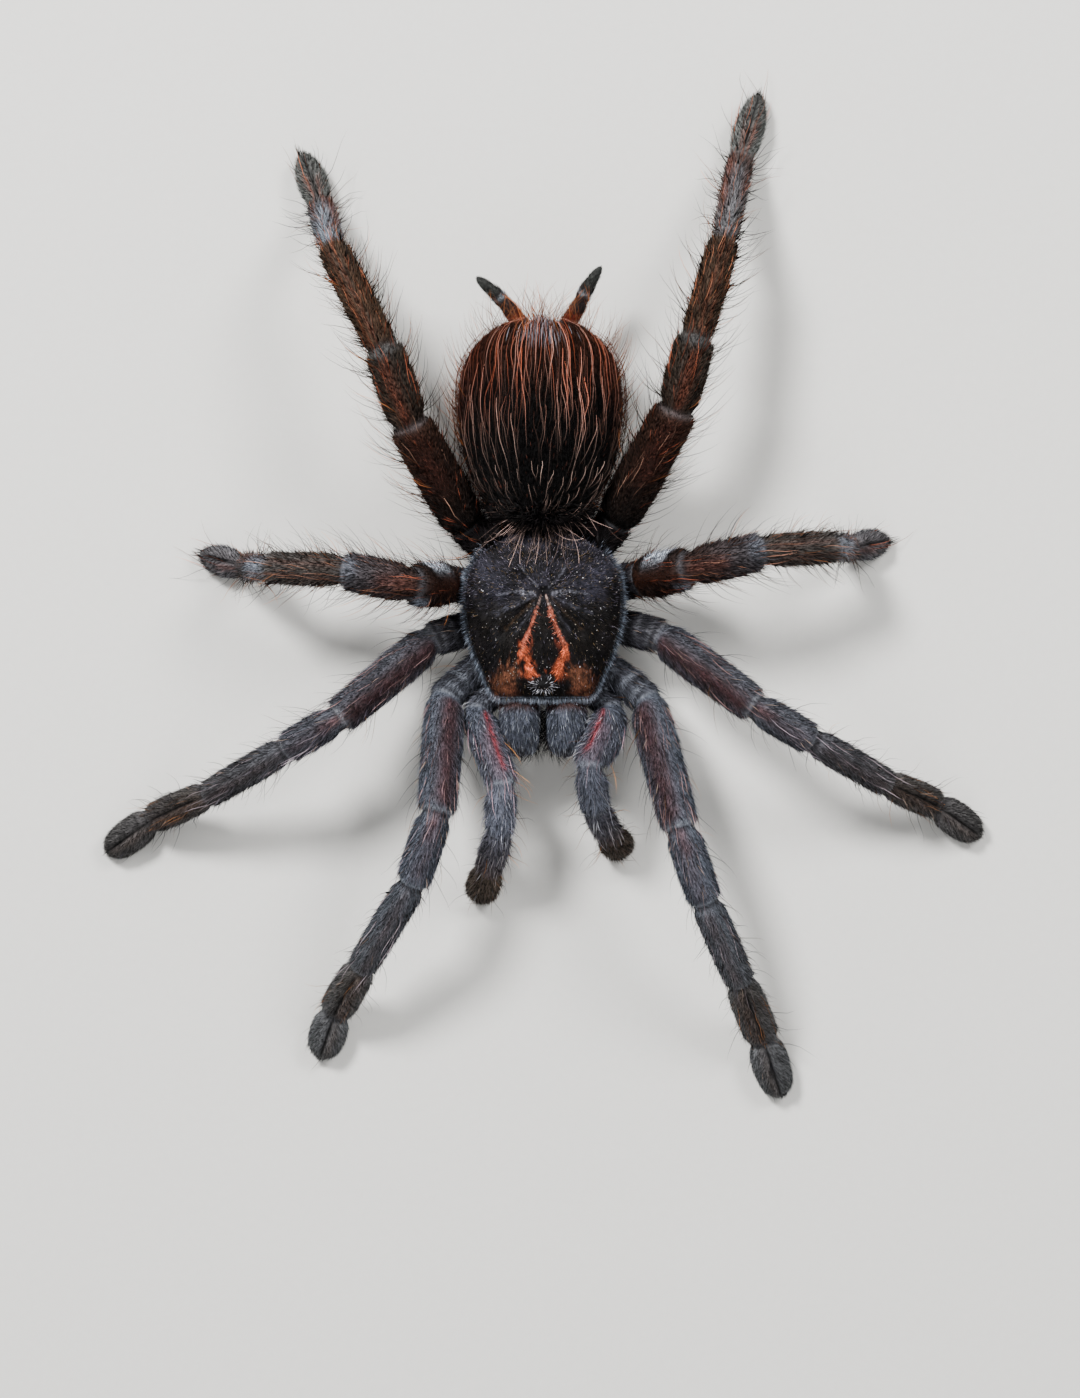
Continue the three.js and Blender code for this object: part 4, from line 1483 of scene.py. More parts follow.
@dataclass(frozen=True)
class ShieldCoats:
    """Kinds of hair on the shield, and its grains of dust."""

    down: Coat = Coat("pile", 22.0, 0.55, 0.35, 16, 0.2, 0.95, (140, 118, 88), 0.02, 11)
    grizzle: Coat = Coat("thread", 1.9, 0.9, 0.5, 18, 0.3, 1.7, (156, 152, 160), 0.1, 18)
    flecks: Coat = Coat("pile", 11.0, 0.46, 0.5, 34, 0.6, 1.0, (112, 92, 62), 0.3, 19, (112, 106, 120))
    flames: Coat = Coat("pile", 26.0, 0.75, 0.4, 22, 0.35, 2.0, seed=20)
    rim: Coat = Coat("pile", 30.0, 0.8, 0.35, 30, 0.3, 1.5, seed=12)
    fringe: Coat = Coat("pile", 50.0, 0.75, 0.3, 22, 0.3, 1.4, seed=13, tone=(158, 164, 176))
    long_rim: Coat = Coat("seta", 1.2, 1.3, 0.4, 35, 0.35, 1.0, seed=14, tone=(158, 164, 176))
    # White hairs round the eye mound, which also stand in for painted glints there.
    lashes_and_glints: Coat = Coat("pile", 28.0, 0.55, 0.4, 36, 0.2, 1.2, seed=15, tone=(225, 225, 235))
    # Dense black hair at the waist: dark hair, and painted shade in the gap before the abdomen.
    waist_hair_and_shade: Coat = Coat("pile", 60.0, 2.1, 0.5, 14, 0.4, 1.0, seed=17, tone=(14, 11, 12))
    dust: Coat = Coat("speck", 1.3, 0.12, 0.6, 60, 0.5, 1.4, (240, 240, 245), 0.35, 16, (160, 150, 140))


@dataclass
class Shield:
    """Carapace: a thin domed plate with a pit, grooves, markings and an eye mound.

    Inset and aside move the places whose height is probed a little, off the solid's edges.
    """

    hub: tuple[float, float] = (0.0, -2.6)
    pit: tuple[float, float] = (0.0, 0.5)
    mound: tuple[float, float] = (0.0, -12.0)
    rays: int = 176
    rings: int = 58
    inset: float = 0.999
    aside: float = 0.0026
    rim_height: float = 10.55
    coats: ShieldCoats = ShieldCoats()
    under_height: float = 10.25
    tuft_hairs: int = 60
    tuft_steps: int = 6
    tuft_radius: float = 0.045
    tuft_tone: Tone = (134, 134, 142)
    grooves: tuple[tuple[int, float], ...] = (
        (-48, 0.34), (-132, 0.34), (-12, 0.3), (192, 0.3), (30, 0.26), (150, 0.26), (62, 0.2), (118, 0.2))
    turned_edge: tuple[tuple[float, float | None], ...] = (
        (1.012, -0.22), (0.995, -0.45), (0.94, None), (0.6, None), (0.2, None))
    eye_places: tuple[Point, ...] = (
        (0.36, -0.5, 0.22), (0.92, -0.4, 0.24), (0.62, 0.26, 0.16), (1.02, 0.22, 0.2))

    def build(self, salon: Salon) -> list[Piece]:
        """Make the plate and its hair.

        Args:
            salon: Grower of hair.

        Returns:
            The plate, its hair and the eyes.
        """
        self.shape = CadShape(("carapace",))
        self.skin = self.dome()
        self.paint()
        plate = self.skin.piece("carapace_plate", "shield_skin", "carapace", "carapace")
        return [plate, salon.finish_pelt("carapace_hair", "carapace", self.hair(salon)), self.eyes()]

    def outline(self, angle: float) -> float:
        """Distance from the hub to the plate's edge in one direction."""
        heading = Vector((math.cos(angle), math.sin(angle), 0.0))
        hub = Vector((*self.hub, self.rim_height))
        return (self.shape.tree.ray_cast(hub + heading * SKY, -heading)[0] - hub).length

    def relief(self, places: Array) -> Array:
        """Height added to the dome by the pit, the grooves and the raised head.

        Args:
            places: Places on the dome in millimetres.

        Returns:
            Heights in millimetres, mostly negative.
        """
        x, y = places[:, 0], places[:, 1] - self.pit[1]
        away = np.hypot(x, y)
        pit = -0.95 * np.exp(-((x / 0.95) ** 2) - ((y / 0.5) ** 2))
        height = pit + 0.35 * np.exp(-((x / 1.7) ** 2) - (((y + 1.3) / 0.9) ** 2))
        for degrees, depth in self.grooves:
            angle = math.radians(degrees)
            along = x * math.cos(angle) + y * math.sin(angle)
            aside = -x * math.sin(angle) + y * math.cos(angle)
            wide = 0.4 + 0.05 * np.clip(along, 0.0, None)
            height -= depth * np.exp(-((aside / wide) ** 2)) * window(along, 1.0, 8.2, 2.0)
        angle_here = np.degrees(np.arctan2(np.abs(x), -y))
        height += 0.25 * (1.0 - ease(30.0, 46.0, angle_here)) * ease(1.5, 4.0, away)
        return height + 0.07 * (mottle(places, 0.9, 7) - 0.5)

    def dome(self) -> Skin:
        """Probe the solid from above on a round grid and close it below."""
        angles = FULL_TURN * np.arange(self.rays) / self.rays
        edges = smooth_rows(np.array([self.outline(angle) for angle in angles] * 3), 1.2)
        edges = edges[self.rays:2 * self.rays]
        shares = np.sin(0.5 * math.pi * np.linspace(0.0, 1.0, self.rings + 1)[1:]) ** 0.92
        rows: list[Array] = []
        for share in shares:
            reach = edges * share
            x = self.hub[0] + np.cos(angles) * reach
            y = self.hub[1] + np.sin(angles) * reach
            z = np.array([self.shape.height(px, py, SKY)
                          for px, py in zip(x * self.inset, y * self.inset - self.aside)])
            z = np.where(np.isfinite(z), z, self.rim_height)
            rows.append(np.stack([x, y, z], axis=1))
        grid = np.array(rows)
        heights = smooth_rows(grid[..., 2], 1.0)
        wrapped = np.concatenate([heights.T] * 3)
        grid[..., 2] = smooth_rows(wrapped, 1.2)[self.rays:2 * self.rays].T
        inner = 1.0 - ease(0.86, 1.0, shares)
        added = self.relief(grid.reshape(-1, 3)).reshape(grid.shape[:2])
        grid[..., 2] += added * inner[:, None]
        turned = []
        for share, height in self.turned_edge:
            row = grid[-1].copy()
            row[:, :2] = np.array(self.hub) + (row[:, :2] - np.array(self.hub)) * share
            row[:, 2] = self.under_height if height is None else grid[-1][:, 2] + height
            row[:, 2] = np.maximum(row[:, 2], self.under_height)
            turned.append(row)
        grid = np.concatenate([grid, np.array(turned)])
        return self.closed(grid)

    def closed(self, grid: Array) -> Skin:
        """Close the grid of rings at its top and bottom."""
        rings, rays = grid.shape[:2]
        points = np.concatenate([grid.reshape(-1, 3), [grid[0].mean(axis=0)], [grid[-1].mean(axis=0)]])
        ring = np.concatenate([np.repeat(np.arange(rings), rays), [0, rings]]).astype(float)
        faces = turned_over(grid_faces(rings, rays))
        return Skin(points, faces, self.combed(points), ring, np.zeros(len(points)), grid)

    def combed(self, points: Array) -> Array:
        """Hair lies away from the pit and, on the head, forwards."""
        away = np.zeros_like(points)
        away[:, 0] = points[:, 0] - self.pit[0]
        away[:, 1] = points[:, 1] - self.pit[1]
        heads = np.clip(-(points[:, 1] + 3.0) / 6.0, 0.0, 1.0)[:, None]
        return unit(unit(away) * (1.0 - 0.7 * heads) + np.array((0.0, -1.0, -0.15)) * heads)

    def strokes(self) -> tuple[Stroke, ...]:
        """Natural markings of the plate, for both sides."""
        grey, orange, red, white = (92, 92, 104), (226, 124, 98), (248, 122, 80), (156, 156, 168)
        rust, gold, black = (142, 90, 66), (84, 64, 44), (9, 8, 9)
        one_side = (
            Stroke(((0.3, -0.2), (0.8, -1.8)), (0.1, 0.16), (176, 146, 136), 0.85, 0.5),
            Stroke(((0.7, -1.6), (1.6, -4.1), (2.85, -6.9)), (0.13, 0.26), orange, 1.0, 0.7, 1.5),
            Stroke(((2.75, -7.2), (2.45, -8.5), (1.95, -10.1)), (0.42, 0.84), red, 1.0, 0.7, 2.2),
            Stroke(((2.3, -7.8), (1.55, -5.9)), (0.5, 0.12), (150, 72, 52), 0.6, 0.9, 2.6),
            Stroke(((1.3, 0.2), (3.2, 0.45), (6.0, -0.1)), (0.16, 0.12), white, 0.75, 0.8, 2.0),
            Stroke(((1.2, 0.0), (3.0, 0.0)), (0.12, 0.1), white, 0.6, 0.8, 2.0),
            Stroke(((0.7, 0.9), (2.2, 2.5), (3.1, 3.8)), (0.12, 0.12), white, 0.4, 0.8, 2.0),
            Stroke(((1.1, -0.1), (3.4, -1.4), (6.4, -2.6)), (0.14, 0.3), grey, 0.4, 0.8, 2.0),
            Stroke(((1.0, -0.5), (2.9, -2.4), (5.0, -4.6)), (0.14, 0.24), gold, 0.3, 0.8, 2.0),
            Stroke(((1.0, -0.9), (2.2, -3.0), (3.6, -5.0)), (0.1, 0.16), grey, 0.3, 0.8, 2.0),
            Stroke(((6.0, 0.6), (7.6, 3.2)), (1.6, 1.4), (66, 66, 80), 0.5, 0.7),
            Stroke(((4.2, -10.3), (4.9, -11.4), (5.6, -12.2)), (1.1, 1.5), rust, 0.85, 0.95, 1.7),
            Stroke(((4.6, -12.7), (3.3, -13.0)), (0.5, 0.35), (150, 92, 70), 0.6, 0.7, 1.5),
            Stroke(((2.7, -11.6), (3.0, -12.8)), (0.65, 0.65), black, 0.9, 0.2, 1.5),
        )
        return one_side + tuple(
            replace(stroke, points=tuple((-x, y) for x, y in stroke.points)) for stroke in one_side)

    def paint(self) -> None:
        """Colour the plate."""
        skin = self.skin
        points = skin.points
        rear = ease(-3.0, 2.0, points[:, 1])
        colour = layered(points, (8, 7, 7),
                         ((20, 16, 12), 0.8 * mottle(points, 1.6, 3) * (1.0 - rear)),
                         ((56, 54, 64), mottle(points, 1.3, 4) ** 1.5 * (0.12 + 0.7 * rear)))
        self.marks = np.zeros(len(points))
        for stroke in self.strokes():
            weight = stroke.weight(points)
            colour = toward(colour, stroke.tone, weight)
            if stroke.tone[0] > 200:
                self.marks = np.maximum(self.marks, weight)
        edge = ease(self.rings * 0.83, self.rings * 0.93, skin.run)
        edge *= 1.0 - 0.75 * ease(1.0, 5.5, points[:, 1])
        colour = toward(colour, (136, 146, 162), 0.9 * edge * (0.6 + 0.4 * mottle(points, 0.8, 9)))
        # Painted shade: the pit is darkened to near black.
        pit_shade = bell(np.hypot(points[:, 0], (points[:, 1] - self.pit[1]) * 1.5), 0.85)
        colour = toward(colour, (10, 9, 9), 0.85 * pit_shade)
        eye_ring = bell(np.hypot(points[:, 0] / 1.5, (points[:, 1] - self.mound[1]) / 1.05), 1.1)
        colour = toward(colour, (9, 9, 10), 0.95 * eye_ring)
        fine = 0.6 * mottle(points, 0.34, 12) + 0.4 * mottle(points, 0.2, 13)
        skin.tint = colour * (0.05 + 1.9 * fine)[:, None]

    def hair(self, salon: Salon) -> list[Pelt]:
        """Grow fine down all over, longer at the rim and the front edge.

        Args:
            salon: Grower of hair.

        Returns:
            The sets of hairs.
        """
        skin, points, coats = self.skin, self.skin.points, self.coats
        x, y = points[:, 0], points[:, 1]
        upper = (skin.run < self.rings + 1.5).astype(float)
        bare = 1.0 - 0.8 * bell(np.hypot(x, y - self.pit[1]), 0.8)
        edge = ease(self.rings * 0.84, self.rings * 0.97, skin.run) * upper
        mound = bell(np.hypot(x / 1.5, y - self.mound[1]), 0.8)
        inside = upper * bare * (1.0 - edge) * (1.0 - mound)
        inward = unit(np.stack([-np.sign(x), -0.9 + 0.0 * x, 0.1 + 0.0 * x], axis=1))
        circle = np.hypot(x / 1.05, (y - self.mound[1] + 0.1) / 0.7)
        # White hairs round the eye mound, partly painted glints.
        lashes_and_glints = bell(circle - 1.0, 0.28) * upper * (0.4 + 0.6 * ease(-0.6, 0.5, self.mound[1] - y))
        rays = unit(np.stack([x - self.mound[0], y - (self.mound[1] - 0.3), 0.0 * x], axis=1))
        backs = np.tile((0.0, 1.0, 0.1), (len(points), 1))
        return [
            salon.plant(skin, coats.down, inside),
            salon.plant(skin, coats.grizzle, inside),
            salon.plant(skin, coats.flecks, inside * (0.1 + 0.9 * ease(-3.0, 2.0, y))),
            salon.plant(skin, coats.flames, ease(0.25, 0.6, self.marks), comb=inward),
            salon.plant(skin, coats.rim, edge),
            salon.plant(skin, coats.fringe, edge * ease(12.3, 13.2, -y)),
            salon.plant(skin, coats.long_rim, edge),
            salon.plant(skin, coats.lashes_and_glints, lashes_and_glints, comb=rays),
            salon.plant(skin, coats.waist_hair_and_shade, edge * ease(5.2, 6.6, y), comb=backs),
            salon.plant(skin, coats.dust, (skin.run < self.rings * 0.9).astype(float)),
            self.tuft(salon)]

    def tuft(self, salon: Salon) -> Pelt:
        """Short pale tuft that hangs between the jaws from the front edge."""
        rng = np.random.default_rng(44)
        count, steps = self.tuft_hairs, self.tuft_steps
        share = np.linspace(0.0, 1.0, steps)
        lines = []
        for _ in range(count):
            x = rng.normal(0.0, 0.45)
            length = rng.uniform(1.2, 2.2)
            start = np.array((x, -13.5, 11.2 + rng.uniform(-0.2, 0.3)))
            drop = np.stack([x * 0.6 * share, -length * share, -1.1 * share ** 1.6 * rng.uniform(0.6, 1.4)],
                            axis=1)
            lines.append(start + drop)
        tint = np.tile(linear(self.tuft_tone), (count, steps, 1))
        return salon.draw(np.array(lines), 1.0 - 0.7 * share, tint, self.tuft_radius, 45)

    def eyes(self) -> Piece:
        """Eight glossy eyes on the mound, in two rows."""
        sides, rings, flat = 20, 9, 0.85
        turns = FULL_TURN * np.arange(sides) / sides
        lats = np.linspace(0.5 * math.pi, -0.5 * math.pi, rings + 2)[1:-1]
        ball = np.array([
            (math.cos(lat) * math.cos(turn), math.cos(lat) * math.sin(turn), flat * math.sin(lat))
            for lat in lats for turn in turns] + [(0.0, 0.0, flat), (0.0, 0.0, -flat)])
        points: list[Array] = []
        blocks: list[list[Array]] = []
        for x, y, radius in self.eye_places:
            for px in (self.mound[0] - x, self.mound[0] + x):
                py = self.mound[1] + y
                middle = np.array((px, py, self.shape.height(px, py, SKY) - 0.05))
                blocks.append(turned_over(grid_faces(rings, sides, len(points) * len(ball))))
                points.append(ball * radius + middle)
        everything = np.concatenate(points)
        piece = write_mesh("eyes", everything, [np.concatenate(kind) for kind in zip(*blocks)])
        store_tint(piece.data, plain((26, 24, 30), everything))
        return settled(piece, "gloss", "fang")


# ---- abdomen ----


@dataclass(frozen=True)
class AbdomenCoats:
    """Kinds of hair on the abdomen."""

    pile: Coat = Coat("pile", 17.0, 1.0, 0.3, 20, 0.2, 0.9, (60, 32, 24), 0.04, 51)
    fringe: Coat = Coat("long_hair", 1.1, 4.2, 0.5, 30, 0.2, 0.8, (166, 96, 52), 0.3, 52, (112, 66, 38))
    tail: Coat = Coat("long_hair", 4.2, 5.0, 0.4, 14, 0.5, 0.85, (150, 84, 46), 0.3, 53, (112, 66, 38))
    # Dense black hair at the waist: dark hair, and painted shade in the gap behind the shield.
    waist_hair_and_shade: Coat = Coat("pile", 34.0, 2.1, 0.5, 42, 0.35, 1.0, seed=55, tone=(13, 10, 10))
    tuft: Coat = Coat("seta", 13.0, 2.1, 0.3, 26, 0.15, 1.3, seed=54, tone=(128, 130, 140))


@dataclass
class Abdomen:
    """Egg of black velvet under combed, wavy red-brown strands."""

    coats: AbdomenCoats = AbdomenCoats()
    strands: int = 250
    wisps: int = 90
    locks: int = 330
    steps: int = 13
    strand_radius: float = 0.026
    pale: Tone = (176, 148, 136)
    red: Tone = (214, 100, 58)
    spilled: int = 96
    spill_steps: int = 12
    spill_radius: float = 0.028
    spill_height: float = 12.8
    spill_tone: Tone = (196, 166, 156)
    turn_step: float = 0.754878
    start_step: float = 0.56984
    spread: float = 1.9

    def build(self, salon: Salon) -> list[Piece]:
        """Make the skin, the velvet and the strands.

        Args:
            salon: Grower of hair.

        Returns:
            The pieces.
        """
        points = node_points("abdomen")
        low, high = points[:, 1].min(), points[:, 1].max()
        stations = np.linspace(low + 0.02, high - 0.02, 12)
        middles = [points[np.abs(points[:, 1] - y) < 2.0].mean(axis=0) for y in stations]
        spine = np.array([(middle[0], y, middle[2]) for middle, y in zip(middles, stations)])
        tube = Tube(("abdomen",), spine, sides=72, step=0.5, relax=2.0, tail_round=0.5, head_round=0.5)
        self.skin = tube.wrap()
        self.paint()
        piece = self.skin.piece("abdomen_skin", "velvet_skin", "abdomen", "abdomen")
        velvet = salon.finish_pelt("abdomen_velvet", "abdomen", self.velvet(salon))
        strands = salon.finish_pelt("abdomen_strands", "abdomen", self.combed_strands(salon))
        return [piece, velvet, strands]

    def paint(self) -> None:
        """Black, a little browner at the rear and the sides."""
        skin = self.skin
        share = skin.share
        flank = ease(0.9, 1.6, np.abs(skin.turn))
        colour = layered(skin.points, (5, 4, 4), ((76, 42, 26), 0.36 * ease(0.6, 1.0, share)),
                         ((78, 36, 26), 0.3 * flank * ease(0.3, 0.7, share)))
        skin.tint = colour * (0.6 + 0.8 * mottle(skin.points, 1.2, 21))[:, None]

    def velvet(self, salon: Salon) -> list[Pelt]:
        """Grow dense short pile, a golden fringe and a grey tuft behind.

        Args:
            salon: Grower of hair.

        Returns:
            The sets of hairs.
        """
        skin, coats, turn = self.skin, self.coats, self.skin.turn
        share = skin.share
        above = 0.5 + 0.5 * ease(-0.5, 0.3, np.cos(turn))
        side = ease(1.15, 1.5, np.abs(turn)) * (1.0 - ease(1.8, 2.3, np.abs(turn)))
        outward = np.sign(turn)[:, None] * np.array((0.45, 0.0, 0.0)) + np.array((0.0, 0.9, 0.12))
        rear = ease(0.88, 0.97, share) * (0.08 + 0.92 * bell(turn, 0.42))
        backs = np.tile((0.0, 1.0, 0.1), (len(skin.points), 1))
        # Black hair at the front of the abdomen, partly painted shade at the waist.
        waist_hair_and_shade = 1.0 - ease(0.04, 0.16, share + 0.06 * mottle(skin.points, 1.5, 56))
        return [
            salon.plant(skin, coats.pile, above),
            salon.plant(skin, coats.fringe, side * (0.35 + 0.65 * ease(0.2, 0.7, share)),
                        comb=unit(outward)),
            salon.plant(skin, coats.tail, rear, comb=backs),
            salon.plant(skin, coats.waist_hair_and_shade, waist_hair_and_shade),
            salon.plant(skin, coats.tuft, ease(0.84, 0.92, share) * bell(turn, 0.38))]

    def surface(self, station: Array, turn: Array) -> tuple[Array, Array]:
        """Read the skin between its corners.

        Args:
            station: Places along the grid, as fractions of a row.
            turn: Angles in radians.

        Returns:
            The points and the outward directions there.
        """
        grid = self.skin.grid
        rows, sides = grid.shape[:2]
        column = (turn % FULL_TURN) / FULL_TURN * sides
        row = np.clip(station, 0.0, rows - 1.001)
        top, left = np.floor(row).astype(int), np.floor(column).astype(int)
        down, right = (row - top)[..., None], (column - left)[..., None]
        left %= sides
        after = (left + 1) % sides
        upper = grid[top, left] * (1 - right) + grid[top, after] * right
        lower = grid[top + 1, left] * (1 - right) + grid[top + 1, after] * right
        point = upper * (1 - down) + lower * down
        centre = grid.mean(axis=1)
        middle = centre[top] * (1 - down) + centre[top + 1] * down
        outward = point - middle
        slope = unit(lower - upper + 1e-6)
        outward = outward - (outward * slope).sum(axis=-1, keepdims=True) * slope
        return point, unit(outward)

    def combed_strands(self, salon: Salon) -> list[Pelt]:
        """Wavy strands in loose locks that run from front to rear."""
        rng = np.random.default_rng(61)
        rows = self.skin.grid.shape[0]
        share = np.linspace(0.0, 1.0, self.steps)
        total = self.strands + self.wisps
        lines = np.empty((total, self.steps, 3))
        tints = np.empty((total, self.steps, 3))
        locks = self.locks
        lock_turn = 2.0 * self.spread * ((self.turn_step * np.arange(locks)) % 1.0) - self.spread
        behind = ((self.start_step * np.arange(locks)) % 1.0) ** 0.8
        lock_start = 0.05 + 0.2 * bell(lock_turn, 0.45) + 0.6 * behind
        lock_wave = rng.uniform(0.0, FULL_TURN, locks)
        lock_red = rng.random(locks) ** 1.5
        for index in range(total):
            lock = index % locks
            start = lock_start[lock] + rng.normal(0.0, 0.04)
            length = rng.uniform(0.22, 0.5) * (0.35 + 0.65 * min(start * 4.0, 1.0))
            wisp = index >= self.strands
            if wisp:
                start, length = rng.uniform(0.03, 0.26), rng.uniform(0.06, 0.13)
            turn = lock_turn[lock] + rng.normal(0.0, 0.05)
            slip = (lock_turn[lock] - turn) * 0.6 + 0.1 * np.sign(turn) * (1.0 - min(start * 3.0, 1.0))
            sway = 0.034 * np.sin(lock_wave[lock] + 4.5 * share) + 0.008 * np.sin(13.0 * share + index)
            place = np.clip(start + length * share, 0.004, 0.995)
            along = place * (rows - 1)
            apart = 1.0 + 0.28 * ease(0.72, 1.0, place)
            sway *= 0.35 if wisp else 1.0
            point, outward = self.surface(along, (turn + slip * share) * apart + sway)
            height = 0.45 + 0.5 * np.sin(share * math.pi * 0.8) * rng.uniform(0.6, 1.3)
            lines[index] = point + outward * height[:, None]
            rear = ease(0.3, 0.85, place) * (0.3 + 0.7 * lock_red[lock])
            colour = toward(plain(self.pale, share), self.red, rear)
            # Strands are darker toward the front; their dimming on the flanks is painted shade.
            shade = (0.3 + 0.7 * ease(0.1, 0.55, place)) * (1.0 - 0.72 * ease(0.5, 1.3, abs(turn)))
            bright = rng.uniform(0.38, 1.08)
            tints[index] = colour * np.where(wisp, 0.85, shade)[:, None] * bright
        girth = np.sin(math.pi * np.clip(share * 0.8 + 0.14, 0.0, 1.0)) ** 0.6
        over = salon.draw(lines, girth, tints, self.strand_radius, 62)
        return [over, self.spill(salon)]

    def spill(self, salon: Salon) -> Pelt:
        """Pale curved hairs that fall forwards over the rear of the shield."""
        rng = np.random.default_rng(71)
        below = CadShape(("carapace", "abdomen"))
        count, steps = self.spilled, self.spill_steps
        share = np.linspace(0.0, 1.0, steps)
        lines = []
        for index in range(count):
            forward = index % 6 > 0
            x_root = rng.normal(0.0, 2.9 if forward else 2.4)
            y_root = rng.uniform(8.6, 12.2) if forward else rng.uniform(9.4, 11.8)
            aim = math.atan2(abs(x_root), 14.5 - y_root) if forward else rng.uniform(0.9, 1.7)
            aim = math.copysign(aim, x_root) + rng.normal(0.0, 0.3)
            length = rng.uniform(2.4, 6.0) if forward else rng.uniform(2.0, 3.8)
            curl = rng.normal(0.0, 0.75) if forward else -math.copysign(rng.uniform(-0.4, 0.9), x_root)
            heading = aim + curl * share ** 1.5
            stride = length / (steps - 1)
            x = x_root + np.cumsum(np.sin(heading)) * stride
            y = y_root - np.cumsum(np.cos(heading)) * stride
            arch = self.spill_height + np.sin(share * math.pi) * rng.uniform(0.3, 0.9)
            land = np.array([below.height(px, py, SKY) for px, py in zip(x, y)])
            land = np.where(np.isfinite(land), land + 0.35, arch)
            z = np.maximum(arch * (1.0 - share) + land * share, land)
            lines.append(np.stack([x, y, z], axis=1))
        tint = np.tile(linear(self.spill_tone), (count, steps, 1)) * rng.uniform(0.3, 1.1, (count, 1, 1))
        return salon.draw(np.array(lines), 1.0 - 0.6 * share, tint, self.spill_radius, 72)


# ---- jaws, spinnerets, underside ----


@dataclass
class Jaws:
    """Two furred jaws; the dark fangs folded under them are made with the underside."""

    boxy: float = 4.0
    boxy_end: float = 2.8
    inner_width: float = 0.87
    coats: tuple[Coat, ...] = (
        Coat("pile", 26.0, 0.8, 0.3, 22, 0.14, 1.2, (170, 176, 188), 0.12),
        Coat("seta", 6.0, 1.25, 0.3, 24, 0.16, 1.4, (205, 208, 216), 0.25),
        Coat("long_hair", 1.6, 2.4, 0.3, 36, 0.25, tone=(70, 40, 36)),
        # Black bristles on the inner face: dark hair, and painted shade between the jaws.
        Coat("seta", 9.0, 1.9, 0.4, 50, 0.3, tone=(13, 11, 12)),
    )

    def build(self, salon: Salon) -> list[Piece]:
        """Make both jaws."""
        return [piece for side in ("left", "right") for piece in self.jaw(salon, side)]

    def jaw(self, salon: Salon, side: str) -> list[Piece]:
        """Make one jaw.

        Args:
            salon: Grower of hair.
            side: Left or right.

        Returns:
            The skin and its fur.
        """
        node = f"chelicera_{side}"
        front = 1.0 if side == "left" else -1.0
        skin = self.shaped(node, front)
        self.paint(skin)
        piece = skin.piece(f"{node}_skin", "limb_skin", "jaw", node)
        seed = 91 if side == "left" else 95
        return [piece, salon.finish_pelt(f"{node}_fur", "jaw", self.hair(salon, skin, seed))]

    def shaped(self, node: str, front: float) -> Skin:
        """Wrap one jaw and make it boxy, with a flatter inner side.

        Args:
            node: CAD node of the jaw.
            front: 1 for the left jaw and -1 for the right one.

        Returns:
            The skin, not yet coloured.
        """
        points = node_points(node)
        low, high = points[:, 1].min(), points[:, 1].max()
        places = np.linspace(high - 0.02, low + 0.02, 6)
        spine = np.array([(points[:, 0].mean(), y, points[:, 2].mean()) for y in places])
        skin = Tube((node,), spine, sides=44, step=0.35, relax=0.8, tail_round=0.6, head_round=0.4,
                    front=front).wrap()
        stations, sides = skin.grid.shape[:2]
        count = stations * sides
        away = unit(skin.points[:count] - np.repeat(skin.grid.mean(axis=1), sides, axis=0))
        outer = ease(-0.2, 0.8, front * away[:, 0])
        skin.points[:count] += away * (0.15 + 0.2 * outer)[:, None]
        half = np.ptp(skin.grid[..., 0], axis=1) / 2.0
        place = np.linspace(-1.0, 1.0, stations)
        boxy = np.where(place > 0.0, self.boxy_end, self.boxy)
        wanted = half.max() * (1.0 - np.abs(place) ** boxy) ** (1.0 / boxy)
        factor = np.repeat(np.clip(wanted / half, 1.0, 2.5), sides)
        hub = np.repeat(skin.grid[..., 0].mean(axis=1), sides)
        aside = skin.points[:count, 0] - hub
        skin.points[:count, 0] = hub + aside * factor * np.where(aside * front < 0.0, self.inner_width, 1.0)
        return skin

    def paint(self, skin: Skin) -> None:
        """Grey-blue, rust-brown at the root and darker at the tip. The rust-brown root is partly the jaw's
        own colour and partly painted shadow under the shield's rim; the darker lower sides and the
        near-black inner side between the jaws are painted shade.
        """
        share, turn = skin.share, skin.turn
        # Painted shadow at the root, painted shade on the lower sides and between the jaws.
        colour = layered(
            skin.points, (86, 90, 102), ((62, 36, 26), 0.85 * (1.0 - ease(0.08, 0.24, share))),
            ((44, 30, 30), 0.7 * ease(0.86, 1.0, share)),
            ((30, 26, 28), 0.8 * ease(1.4, 2.4, np.abs(turn))),
            ((16, 14, 16), 0.95 * ease(0.9, 1.4, turn)))
        skin.tint = colour * (0.35 + 1.3 * mottle(skin.points * (1.0, 0.4, 1.0), 0.32, 81))[:, None]

    def hair(self, salon: Salon, skin: Skin, seed: int) -> list[Pelt]:
        """Grow the hair of one jaw.

        Args:
            salon: Grower of hair.
            skin: Skin of the jaw.
            seed: Seed of its first coat.

        Returns:
            The sets of hairs.
        """
        share, turn = skin.share, skin.turn
        over = 1.0 - 0.6 * ease(1.5, 2.4, np.abs(turn))
        masks = (over, over * ease(0.1, 0.3, share),
                 ease(0.72, 0.95, share) * (0.4 + 0.6 * ease(0.6, 1.6, np.abs(turn))),
                 ease(0.9, 1.4, turn) * ease(2.6, 2.0, np.abs(turn)))
        return [salon.plant(skin, replace(coat, seed=seed + index), mask)
                for index, (coat, mask) in enumerate(zip(self.coats, masks))]


